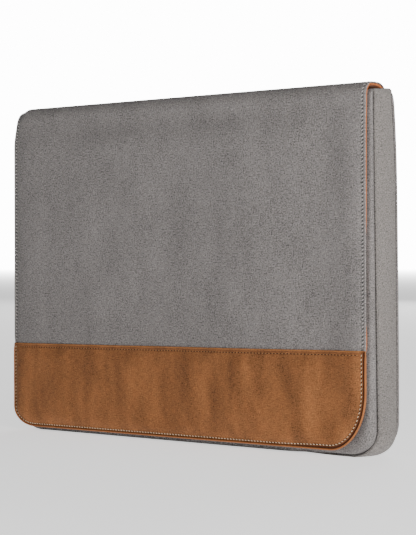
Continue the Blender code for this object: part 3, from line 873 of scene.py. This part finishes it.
# ------------------------------------------------------------------ rolled binding round the band
def binding():
    u = Panel(FLAP_HALF, FLAP_BOTTOM, FLAP_CORNERS, list(np.linspace(BAND_TOP - 0.1, 51, 14)), arc=44, cols=110)
    line, outer = u.chain(0.35), u.chain(0.0)
    inward = u.chain(1.0) - outer
    inward /= np.linalg.norm(inward, axis=1)[:, None]
    along = np.concatenate([[0], np.cumsum(np.linalg.norm(np.diff(line, axis=0), axis=1))])
    rings, uvs = [], []
    a = np.linspace(0, 2 * math.pi, 17)[:-1]
    c, s = np.cos(a), np.sin(a)
    for k, (x, z) in enumerate(line):
        wobble = 0.08 * float(lattice(along[k], 0.0, 7.0, 1.0, 5)) + 0.05 * float(lattice(along[k], 3.0, 2.6, 1.0, 6))
        front, back = FLAP_FACE - BAND_T - 0.62 - wobble, FLAP_FACE + 0.35
        taper = min(1.0, 0.45 + 0.2 * min(k, len(line) - 1 - k, 3))
        mid, half_y = (front + back) / 2, (back - front) / 2 * taper
        half_w = (0.64 + wobble * 0.5) * taper
        cx = np.sign(c) * np.abs(c) ** 0.9 * half_w
        cy = np.sign(s) * np.abs(s) ** 0.75 * half_y
        rings.append(np.stack([x + inward[k][0] * cx, mid + cy, z + inward[k][1] * cx], 1))
        uvs.append(np.stack([np.cumsum(np.full(16, 0.4)), np.full(16, along[k])], 1))
    n, m = len(rings), 16
    verts, uv = np.concatenate(rings), np.concatenate(uvs)
    q, k = np.arange(m), np.arange(n - 1)[:, None]
    faces = np.stack([k * m + q, k * m + (q + 1) % m, (k + 1) * m + (q + 1) % m, (k + 1) * m + q], -1).reshape(-1, 4).tolist()
    faces += [list(range(m)), list(range((n - 1) * m, n * m))]
    return to_object("rolled_binding", verts, faces, uv, [BINDING], body="flap", hung=True)


bind = binding()
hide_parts("band_edge_binding")


# ------------------------------------------------------------------ sewing
def resample(points, normals, step):
    d = np.concatenate([[0], np.cumsum(np.linalg.norm(np.diff(points, axis=0), axis=1))])
    count = max(2, int(round(d[-1] / step)))
    s = (np.arange(count) + 0.5) * d[-1] / count
    f = lambda a: np.stack([np.interp(s, d, a[:, i]) for i in range(3)], 1)
    e = 0.3
    g = lambda a, q: np.stack([np.interp(q, d, a[:, i]) for i in range(3)], 1)
    tangent = g(points, s + e) - g(points, s - e)
    tangent /= np.maximum(np.linalg.norm(tangent, axis=1), 1e-9)[:, None]
    n = f(normals)
    n /= np.linalg.norm(n, axis=1)[:, None]
    return f(points), tangent, n, d[-1] / count


def sewing(name, runs, pitch, mats, width=0.62, fill=0.66, rise=0.34, slant=0.0, hole=(1.0, 0.62), hole_lift=0.03, hole_side=0.0, seed=3, **options):
    """Real stitches along each run of (points, normals), with a near-black disc between them: painted shade of the
    needle hole.
    """
    rng = np.random.default_rng(seed)
    verts, faces, uvs, kinds = [], [], [], []
    base = 0
    for points, normals in runs:
        c, t, n, step = resample(np.asarray(points, float), np.asarray(normals, float), pitch)
        b = np.cross(n, t)
        for k in range(len(c)):
            turn = slant + rng.uniform(-0.05, 0.05)
            ax = t[k] * math.cos(turn) + b[k] * math.sin(turn)
            side = np.cross(n[k], ax)
            half, r = step * fill / 2 * rng.uniform(0.94, 1.05), width / 2
            stations = np.array([-1.0, -0.82, -0.45, 0.0, 0.45, 0.82, 1.0])
            sec = 8
            for q in stations:
                centre = c[k] + ax * q * half + n[k] * (rise * (1 - q * q) - 0.20 * abs(q) ** 3)
                rr = r * (1 - 0.55 * abs(q) ** 4)
                for j in range(sec):
                    a = 2 * math.pi * j / sec
                    verts.append(centre + side * math.cos(a) * rr + n[k] * math.sin(a) * rr * 0.75)
                    uvs.append((rr * a, (q + 1) * half))
            for i in range(len(stations) - 1):
                for j in range(sec):
                    p0, p1 = base + i * sec + j, base + i * sec + (j + 1) % sec
                    faces.append((p0, p1, p1 + sec, p0 + sec))
                    kinds.append(0)
            faces += [tuple(base + j for j in range(sec))[::-1], tuple(base + (len(stations) - 1) * sec + j for j in range(sec))]
            kinds += [0, 0]
            base += sec * len(stations)
            # painted shade of the needle hole: a dark flattened disc between two stitches, set aside by hole_side
            if hole and k < len(c) - 1:
                m = (c[k] + c[k + 1]) / 2 + n[k] * hole_lift + b[k] * hole_side
                hs, hr = 8, 3
                ring_base = base
                for i in range(hr):
                    lat = (i + 0.6) / (hr + 0.2) * math.pi
                    for j in range(hs):
                        a = 2 * math.pi * j / hs
                        verts.append(m + ax * math.cos(a) * math.sin(lat) * hole[0] / 2 + side * math.sin(a) * math.sin(lat) * hole[1] / 2
                                     + n[k] * math.cos(lat) * 0.07)
                        uvs.append((a, lat))
                for i in range(hr - 1):
                    for j in range(hs):
                        p0, p1 = ring_base + i * hs + j, ring_base + i * hs + (j + 1) % hs
                        faces.append((p0, p0 + hs, p1 + hs, p1))
                        kinds.append(1)
                faces += [tuple(ring_base + j for j in range(hs)), tuple(ring_base + (hr - 1) * hs + j for j in range(hs))[::-1]]
                kinds += [1, 1]
                base += hs * hr
    return to_object(name, np.array(verts), faces, np.array(uvs), mats, face_mat=kinds, sharp=60, **options)


# round the band
u = Panel(FLAP_HALF, FLAP_BOTTOM, FLAP_CORNERS, list(np.linspace(BAND_TOP - 2.0, 51, 16)), arc=60, cols=160)
line = u.chain(BAND_STITCH)
closer = near_edge(line[:, 0], line[:, 1])[:, None]
line = line * (1 - closer) + u.chain(BAND_STITCH / 1.45) * closer
pts = band_point(line[:, 0], line[:, 1], 0.12)
edge_sewing = sewing("band_edge_stitches", [(pts, np.tile([0, -1.0, 0], (len(pts), 1)))], 3.0, [CREAM, HOLE_SHADE_BROWN],
                     width=0.66, fill=0.58, rise=0.32, slant=-0.32, hole=(1.2, 0.85), body="flap", hung=True, seed=5)
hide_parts("band_edge_thread")

xs = np.linspace(-(FLAP_HALF - BAND_STITCH - 1.6), FLAP_HALF - BAND_STITCH - 1.6, 240)
pts = band_point(xs, np.full_like(xs, BAND_TOP - TOP_STITCH), 0.08)
top_sewing = sewing("band_top_stitches", [(pts, np.tile([0, -1.0, 0], (len(pts), 1)))], 3.1, [TAN_THREAD, HOLE_SHADE_BROWN],
                    width=0.62, fill=0.50, rise=0.26, hole=(1.5, 0.8), body="flap", hung=True, seed=7)
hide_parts("band_top_thread")

# down the flap's sides, in front of the split and behind it
for side, sign in (("left", -1), ("right", 1)):
    v = np.concatenate([np.linspace(SPLIT_V - 1.0, FRONT_V, 60), np.linspace(FRONT_V, BAND_TOP + 2.0, 160)[1:]])
    x = np.full_like(v, sign * (FLAP_HALF - STITCH))
    pts, nor = on_flap(x, v, 0.02), flap_normal(v)
    ob = sewing("flap_edge_stitches_" + side, [(pts, nor)], 2.84, [GREY_THREAD, HOLE_SHADE_GREY], width=0.80, fill=0.92,
                rise=0.36, slant=-0.90 * sign, hole=(2.0, 1.2), hole_side=0.2 * sign, hung=True, seed=9)
    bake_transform(ob)
    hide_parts("flap_edge_thread_" + side)
runs = []
for sign in (-1, 1):
    v = np.linspace(FRONT_S + FRONT_V - 9.0, SPLIT_V + 1.0, 40)
    x = np.full_like(v, sign * (FLAP_HALF - STITCH))
    runs.append((on_flap(x, v, 0.02), flap_normal(v)))
crown_sewing = sewing("crown_edge_stitches", runs, 2.85, [GREY_THREAD, HOLE_SHADE_GREY], width=0.92, fill=1.0, rise=0.36, slant=0.85, hole=(2.0, 1.2), seed=10)
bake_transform(crown_sewing)


# ------------------------------------------------------------------ pouch
def seam_front(z):
    return -7.5 - 6.5 * np.clip(np.asarray(z, float) / BODY_TOP, 0, 1)


def seam_gap(z):
    """Half the seam's opening: it gapes at the top."""
    return 0.38 + 0.45 * smooth((np.asarray(z, float) - 248) / 16)


def seam_lift(x):
    """Towards the lower right corner the base swells below the seam."""
    return 1.7 * smooth((np.asarray(x, float) - 105) / 55)


def lean(y, z):
    """The back comes forward towards the top, as in the CAD."""
    t = np.clip((np.asarray(z, float) - 60) / (BODY_TOP - 60), 0, 1.02)
    share = np.clip((y + 13.0) / 28.5, 0, 1)
    return y - (2.8 * t + 3.95 * t ** 6) * share


# gusset: outer padding, lining and turned hems
spine, inward = u_spine(BODY_HALF, BODY_CORNERS, BODY_TOP, step=3.0, arc=30)
side_len = np.concatenate([[0], np.cumsum(np.linalg.norm(np.diff(spine, axis=0), axis=1))])
Q = [0.0] * 5 + list(np.linspace(0.06, 0.94, 12)) + [1.0] * 5
DEPTH = [1.25, 0.72, 0.30, 0.06, 0.0] + [0.0] * 12 + [0.0, 0.06, 0.30, 0.72, 1.25]
DY = [0.08, 0.16, 0.45, 0.95, 1.6] + [0.0] * 12 + [-1.6, -0.95, -0.45, -0.16, -0.08]


SWELL = [0, 1.5, 4.0, 6.2, 7.6, 7.4, 6.0, 4.0, 2.2, 0.9] + [0] * 12
RAISE = [1.0, 0.85, 0.5, 0.2] + [0] * 18


def gusset_section(k):
    z, on_side = spine[k][2], abs(inward[k][0])
    below = float(seam_lift(spine[k][0])) * max(float(inward[k][2]), 0.0) ** 1.5
    yf, yb = float(seam_front(z) + seam_gap(z)), float(lean(BACK_SEAM, z)) + 0.9 * (1 - smooth((z - 200) / 60)) - 0.1
    out = []
    for q, d, dy, fwd, up in zip(Q, DEPTH, DY, SWELL, RAISE):
        y = yf * (1 - q) + yb * q + dy - fwd * below / 1.7
        d = d + up * below
        swell = 0.75 * math.sin(math.pi * q) ** 0.7 if 0 < q < 1 else 0.0
        ripple = float(sample(SIDE_CLOTH, np.array([side_len[k] / side_len[-1]]), np.array([q]))[0]) * 0.45 * math.sin(math.pi * q)
        full = 2 * abs(inward[k][0] * inward[k][2]) * (spine[k][0] > 0)
        out.append((d - (swell + ripple) * on_side - 1.9 * full * (math.sin(math.pi * q ** 0.8) ** 0.6 if 0 < q < 1 else 0.0), y))
    out += [(4.15, yb - 0.1), (4.25, yb - 1.2), (4.25, yb * 0.5 + yf * 0.5), (4.25, yf + 1.2), (4.15, yf + 0.1)]
    return out


across = np.concatenate([[0], np.cumsum([1.1] * 4 + [2.2] * 13 + [1.1] * 4), 31 + np.cumsum([3, 1, 13, 13, 1])])
# painted shade: the gusset darkens along both seams, through both colour masks
painted_seam_shade = np.tile(np.concatenate([[1.0, 0.8, 0.35], np.zeros(16), [0.35, 0.8, 1.0], np.ones(5)]), len(spine))
gusset = sweep("gusset_padding", spine, inward, gusset_section, across[:27], [CANVAS_SIDE], body="pouch", edge=painted_seam_shade, wear=-1.2 * painted_seam_shade)
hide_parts("gusset_canvas", "gusset_foam")


def gusset_lining_section(k):
    z = spine[k][2]
    yf, yb = max(float(seam_front(z)) + 0.2, -12.7), float(lean(BACK_SEAM, z)) - 0.3
    pucker = 0.12 * float(lattice(side_len[k], 0.0, 6.0, 1, 77))
    ys = np.linspace(yf, yb, 7)
    return [(4.5 + pucker, y) for y in ys] + [(5.1 + pucker * 0.5, y) for y in ys[::-1]]


gusset_in = sweep("gusset_inner_cloth", spine, inward, gusset_lining_section, np.arange(14) * 4.0, [LINING], body="pouch")
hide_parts("gusset_lining")

for side, sign in (("left", -1), ("right", 1)):
    # a folded strip over the gusset's end: rounded on top
    yf, yb = float(seam_front(BODY_TOP)) + 0.25, float(lean(BACK_SEAM, BODY_TOP)) - 0.1
    ys = np.linspace(yf, yb, 26)
    a = np.linspace(0, 2 * math.pi, 17)[:-1]
    rings, uvs = [], []
    for k, y in enumerate(ys):
        end = min(1.0, 0.72 + 0.14 * min(k, len(ys) - 1 - k))
        c, s = np.cos(a), np.sin(a)
        px = np.sign(c) * np.abs(c) ** 0.4 * (2.75 - 0.5 * (1 - end))
        lift = 0.08 * float(lattice(y, 0.0, 5.0, 1, 80)) + 1.4 * smooth((y - yf) / (yb - yf))
        tall = (2.4 + lift) / 2 * end
        pz = np.sign(s) * np.abs(s) ** 0.55 * tall - 0.7 + tall
        rings.append(np.stack([sign * (BODY_HALF - 2.35) + px, np.full(16, y), BODY_TOP + pz], 1))
        uvs.append(np.stack([np.arange(16) * 0.8, np.full(16, y)], 1))
    q, k = np.arange(16), np.arange(len(ys) - 1)[:, None]
    f = np.stack([k * 16 + q, k * 16 + (q + 1) % 16, (k + 1) * 16 + (q + 1) % 16, (k + 1) * 16 + q], -1).reshape(-1, 4).tolist()
    f += [list(range(16)), list(range((len(ys) - 1) * 16, len(ys) * 16))]
    hem = to_object("gusset_top_hem_" + side, np.concatenate(rings), f, np.concatenate(uvs), [CANVAS_SIDE], body="pouch")
    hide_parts("gusset_hem_" + side)


def padded_panel(name, front, mats):
    """A padded panel whose edge rolls over into the gusset seam."""
    levels = [BODY_TOP - 0.3, BODY_TOP - 0.8, BODY_TOP - 1.5, BODY_TOP - 2.4, BODY_TOP - 3.6, BODY_TOP - 5.2, BODY_TOP - 7.5, BODY_TOP - 10.5, BODY_TOP - 14]
    grow = 0.0 if front else 4.0
    corners = tuple((r + grow, r + grow) for r in BODY_CORNERS)
    levels += list(np.linspace(BODY_TOP - 14, max(BODY_CORNERS) + 8, 52))[1:]
    panel = Panel(BODY_HALF, 0.0, corners, levels, arc=30, cols=78)
    # stations from the seam outwards and then over the face: (outline inset, share of the way from seam to face)
    outer = [(1.25, 0.02), (0.75, 0.05), (0.32, 0.14), (0.07, 0.27), (0.0, 0.42), (0.12, 0.56), (0.48, 0.69), (1.0, 0.79),
             (1.7, 0.87), (2.6, 0.93), (3.8, 0.97), (5.2, 1.0), (7.2, 1.0), (10.5, 1.0), (13.5, 1.0), (17, 1.0)]
    inner = [(1.3, 0.0), (1.6, 0.0), (2.0, 0.0), (2.4, 0.0), (2.8, 0.0), (3.2, 0.0), (3.6, 0.0), (4.0, 0.0),
             (4.4, 0.0), (4.8, 0.35), (5.1, 0.8), (5.6, 1.0), (7.6, 1.0), (10.8, 1.0), (13.5, 1.0), (17, 1.0)]
    po, ring = panel.points([a for a, _ in outer])
    deep = abs(FRONT_FACE - float(seam_front(0))) if front else BACK_FACE - BACK_SEAM
    flat_in = [a for a, _ in outer]
    for i in range(10, -1, -1):          # the cloth's own distance from the edge, measured round the roll
        flat_in[i] = flat_in[i + 1] - math.hypot(outer[i + 1][0] - outer[i][0], (outer[i + 1][1] - outer[i][1]) * deep)
    pu, _ = panel.points(flat_in)
    pi, _ = panel.points([a for a, _ in inner])
    quads, loop, u_count = panel.topology(len(outer))
    so, si = np.array([b for _, b in outer])[ring.astype(int)], np.array([b for _, b in inner])[ring.astype(int)]
    wave = sample(PANEL_CLOTH, (po[:, 0] + BODY_HALF) / (2 * BODY_HALF) * (1 if front else -1) + (0 if front else 1), po[:, 1] / BODY_TOP)
    t = BODY_TOP - 0.3 - po[:, 1]
    e = edge_distance(po[:, 0], po[:, 1], BODY_HALF, 0.0, corners)
    if front:
        seam, face, inside = seam_front(po[:, 1]) - seam_gap(po[:, 1]), FRONT_FACE, FRONT_INNER
        roll_top = np.sqrt(np.clip(1 - (1 - np.clip(t / 3.4, 0, 1)) ** 2, 0, 1))
        # the flap lies on this panel, so it hardly swells there
        yo = seam + (face - seam) * so
        yo = yo + (1 - roll_top) * np.minimum(1.7, np.abs(inside - yo) * 0.5)
        yi = (seam_front(pi[:, 1]) - seam_gap(pi[:, 1])) * (1 - si) + inside * si
        low = smooth((14 - po[:, 1]) / 14) * seam_lift(po[:, 0])
        po = po + np.stack([np.zeros(len(po)), low], 1)
        pi = pi + np.stack([np.zeros(len(pi)), smooth((14 - pi[:, 1]) / 14) * seam_lift(pi[:, 0])], 1)
        yo = yo - 1.4 * smooth((po[:, 0] - 128) / 40) * smooth((2.0 - flap_edge(po[:, 0], po[:, 1])) / 7) * smooth((so - 0.3) / 0.6)
        yo = np.minimum(yo, yi - 0.35)
        uv = pu.copy()
    else:
        seam = lean(BACK_SEAM, po[:, 1]) + 0.9 * (1 - smooth((po[:, 1] - 200) / 60)) + 0.1
        face, inside = lean(BACK_FACE, po[:, 1]), lean(BACK_FACE - 3.8, pi[:, 1])
        swell = 2.2 * (1 - np.exp(-np.maximum(e - 5, 0) / 28)) * smooth(t / 40)
        roll_top = np.sqrt(np.clip(1 - (1 - np.clip(t / 9.0, 0, 1)) ** 2, 0, 1))
        yo = seam + (face - seam) * so + (swell + 0.8 * wave * smooth((e - 6) / 24) * smooth(t / 20))
        low = np.maximum(lean(BACK_SEAM, po[:, 1]) + 0.3, ROOT_Y + 0.9)
        yo = low + (yo - low) * (0.12 + 0.88 * roll_top)
        rim_i = lean(BACK_SEAM, pi[:, 1]) + 0.9 * (1 - smooth((pi[:, 1] - 200) / 60)) + 0.1
        yi = rim_i * (1 - si) + inside * si
        yi = np.minimum(yi, yo - 0.35)
        uv = pu * np.array([-1.0, 1.0])
    top, bot = np.stack([po[:, 0], yo, po[:, 1]], 1), np.stack([pi[:, 0], yi, pi[:, 1]], 1)
    out2 = loop_out(po, loop, u_count)
    out3 = np.stack([out2[:, 0], np.zeros(len(loop)), out2[:, 1]], 1)
    bulge = np.where(np.arange(len(loop)) < u_count, 0.15, 1.0)
    painted_under_shade = smooth((3.4 - po[:, 1]) / 1.2) * smooth((170 - po[:, 0]) / 40) * float(front)     # painted shade along the front panel's foot, under the flap
    verts, faces, uv = close_shell(top, bot, quads, loop, out3, out2, uv, bulge)
    # painted shade in the seam groove and at the foot, through both colour masks
    painted_seam_shade = np.concatenate([smooth((2.4 - ring) / 1.6), np.zeros(len(verts) - len(painted_under_shade))])
    painted_under_shade = np.concatenate([painted_under_shade, np.zeros(len(verts) - len(painted_under_shade))])
    return to_object(name, verts, faces, uv, mats, body="pouch", edge=np.maximum(painted_under_shade, painted_seam_shade), wear=-1.3 * np.maximum(painted_under_shade, 0.9 * painted_seam_shade))


front_pad = padded_panel("front_panel_padding", True, [CANVAS])
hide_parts("front_panel_canvas", "front_panel_foam")
back_pad = padded_panel("back_panel_padding", False, [CANVAS])
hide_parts("back_panel_canvas", "back_panel_foam")


def lining_panel(name, y_of, top_z, node, seed):
    """Lining stretched over a panel's inside."""
    inset = BODY_HALF - box_mm(node)[1][0]
    levels = list(np.linspace(top_z - 0.3, max(BODY_CORNERS) + 4, 40))
    corners = tuple((r - inset, r - inset) for r in BODY_CORNERS)
    panel = Panel(BODY_HALF - inset, inset, corners, levels, arc=14, cols=60)
    insets = [0.3, 0.8, 1.6, 3, 5, 8, 12]
    p, ring = panel.points(insets)
    quads, loop, u_count = panel.topology(len(insets))
    e = edge_distance(p[:, 0], p[:, 1], BODY_HALF - inset, inset, corners)
    soft = 0.12 * lattice(p[:, 0], p[:, 1], 34, 60, seed) * smooth(e / 12) + 0.10 * lattice(p[:, 0], p[:, 1], 7, 25, seed + 1) * bump_at(e, 2, 6)
    y0, y1 = y_of(p[:, 1])
    top, bot = np.stack([p[:, 0], y0 + soft, p[:, 1]], 1), np.stack([p[:, 0], y1 + soft, p[:, 1]], 1)
    out2 = loop_out(p, loop, u_count)
    out3 = np.stack([out2[:, 0], np.zeros(len(loop)), out2[:, 1]], 1)
    verts, faces, uv = close_shell(top, bot, quads, loop, out3, out2, p.copy(), 1.0)
    ob = to_object(name, verts, faces, uv, [LINING], body="pouch")
    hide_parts(node)
    return ob


front_in = lining_panel("front_inner_cloth", lambda z: (FRONT_LINING[0], FRONT_LINING[1]), BODY_TOP, "front_panel_lining", 91)
b1 = BACK_FACE - CANVAS_T - 0.3 - 2.6 - 0.3
back_in = lining_panel("back_inner_cloth", lambda z: (lean(b1 - LINING_T, z), lean(b1, z)), BODY_TOP - 14, "back_panel_lining", 95)


def bar(name, x_half, y0, y1, z0, z1, mats, seed, power=0.6):
    """A soft folded strip across the sleeve."""
    xs = np.linspace(-x_half, x_half, 120)
    a = np.linspace(0, 2 * math.pi, 17)[:-1]
    c, s = np.cos(a), np.sin(a)
    rings, uvs = [], []
    for k, x in enumerate(xs):
        end = min(1.0, 0.5 + 0.25 * min(k, len(xs) - 1 - k))
        hy, hz = (y1 - y0) / 2 * end, (z1 - z0) / 2 * end
        w = 0.08 * float(lattice(x, 0.0, 9.0, 1, seed))
        rings.append(np.stack([np.full(16, x), (y0 + y1) / 2 + np.sign(c) * np.abs(c) ** power * hy,
                               (z0 + z1) / 2 + np.sign(s) * np.abs(s) ** power * hz + w], 1))
        uvs.append(np.stack([np.full(16, x), np.arange(16) * 0.7], 1))
    q, k = np.arange(16), np.arange(len(xs) - 1)[:, None]
    f = np.stack([k * 16 + q, k * 16 + (q + 1) % 16, (k + 1) * 16 + (q + 1) % 16, (k + 1) * 16 + q], -1).reshape(-1, 4).tolist()
    f += [list(range(16)), list(range((len(xs) - 1) * 16, len(xs) * 16))]
    return to_object(name, np.concatenate(rings), f, np.concatenate(uvs), mats, body="pouch")


lo, hi = box_mm("front_opening_hem")
hem = bar("front_opening_binding", hi[0], lo[1], hi[1], lo[2] - 0.3, hi[2], [CANVAS], 60)
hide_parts("front_opening_hem")
lo, hi = box_mm("flap_seam_tape")
tape = bar("flap_seam_binding", hi[0], lo[1] + 0.1, hi[1] + 0.6, lo[2], hi[2] + 2.4, [CANVAS], 61)
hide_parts("flap_seam_tape")

# hidden steel keeps its CAD shape
for node in ("flap_magnet_left", "flap_magnet_right", "front_keeper_left", "front_keeper_right"):
    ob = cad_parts[node]
    ob.data.uv_layers.new(name="cloth") if "cloth" not in ob.data.uv_layers else None
    for s in ob.material_slots:
        s.material = STEEL


# ------------------------------------------------------------------ camera, floor and light
def point_at(ob, target):
    ob.rotation_mode = "QUATERNION"
    ob.rotation_quaternion = (Vector(target) - ob.location).to_track_quat("-Z", "Y")


cam_data = bpy.data.cameras.new("camera")
cam = bpy.data.objects.new("camera", cam_data)
scene.collection.objects.link(cam)
AZ, DOWN = math.radians(40.867), math.radians(0.126)
cam.location = (0.94227, -1.06802, 0.14253)
cam.rotation_euler = (math.radians(90) - DOWN, 0, AZ)
cam_data.sensor_width = 36.0
cam_data.lens = 1767.66 * 36.0 / 535.0
cam_data.clip_start, cam_data.clip_end = 0.05, 60
scene.camera = cam


def area(name, location, target, size, power, colour=(1, 1, 1), size_y=None):
    data = bpy.data.lights.new(name, "AREA")
    data.energy, data.color = power, colour
    data.shape, data.size = "RECTANGLE", size
    data.size_y = size_y or size
    ob = bpy.data.objects.new(name, data)
    ob.location = location
    scene.collection.objects.link(ob)
    point_at(ob, target)
    return ob


area("key", (1.58, -0.64, 0.22), (0.05, 0, 0.10), 0.8, 37, (1.0, 0.98, 0.955))
area("fill", (1.05, -1.25, 0.16), (0.05, 0, 0.08), 0.8, 6.5, (0.96, 0.98, 1.0))
area("overhead", (0.1, 0.15, 1.9), (0, 0, 0.1), 1.8, 6)
area("back_fill", (-2.2, 4.2, 2.2), (0, 0, 0.14), 2.5, 95)

world = bpy.data.worlds.new("studio")
scene.world = world
world.use_nodes = True
wt = world.node_tree
soft, seen, mix = wt.nodes["Background"], wt.nodes.new("ShaderNodeBackground"), wt.nodes.new("ShaderNodeMixShader")
path_node = wt.nodes.new("ShaderNodeLightPath")
soft.inputs[0].default_value, soft.inputs[1].default_value = (1, 1, 1, 1), 0.02
seen.inputs[0].default_value, seen.inputs[1].default_value = (1, 1, 1, 1), 14.0
wt.links.new(path_node.outputs["Is Camera Ray"], mix.inputs[0])
wt.links.new(soft.outputs[0], mix.inputs[1])
wt.links.new(seen.outputs[0], mix.inputs[2])
wt.links.new(mix.outputs[0], wt.nodes["World Output"].inputs["Surface"])

floor_mesh = bpy.data.meshes.new("floor")
floor_mesh.from_pydata([(-55, -55, -0.0004), (55, -55, -0.0004), (55, 55, -0.0004), (-55, 55, -0.0004)], [], [(0, 1, 2, 3)])
floor = bpy.data.objects.new("floor", floor_mesh)
scene.collection.objects.link(floor)
floor_mat = bpy.data.materials.new("pale_floor")
floor_mat.use_nodes = True
ft = floor_mat.node_tree
sh = ft.nodes["Principled BSDF"]
sh.inputs["Base Color"].default_value = (0.86, 0.86, 0.86, 1)
sh.inputs["Roughness"].default_value = 0.9
sh.inputs["Specular IOR Level"].default_value = 0.1
place, reach, floor_glow = ft.nodes.new("ShaderNodeTexCoord"), ft.nodes.new("ShaderNodeVectorMath"), ft.nodes.new("ShaderNodeMapRange")
reach.operation, floor_glow.interpolation_type = "LENGTH", "SMOOTHSTEP"
floor_glow.inputs["From Min"].default_value, floor_glow.inputs["From Max"].default_value = 5.0, 52.0
floor_glow.inputs["To Min"].default_value, floor_glow.inputs["To Max"].default_value = 0.98, 14.0
ft.links.new(place.outputs["Object"], reach.inputs[0])          # the floor glows as painted light that also lights the sleeve: 0.98 near it, rising to 14 where it meets the backdrop
ft.links.new(reach.outputs["Value"], floor_glow.inputs["Value"])
ft.links.new(floor_glow.outputs["Result"], sh.inputs["Emission Strength"])
sh.inputs["Emission Color"].default_value = (1, 1, 1, 1)
floor_mesh.materials.append(floor_mat)
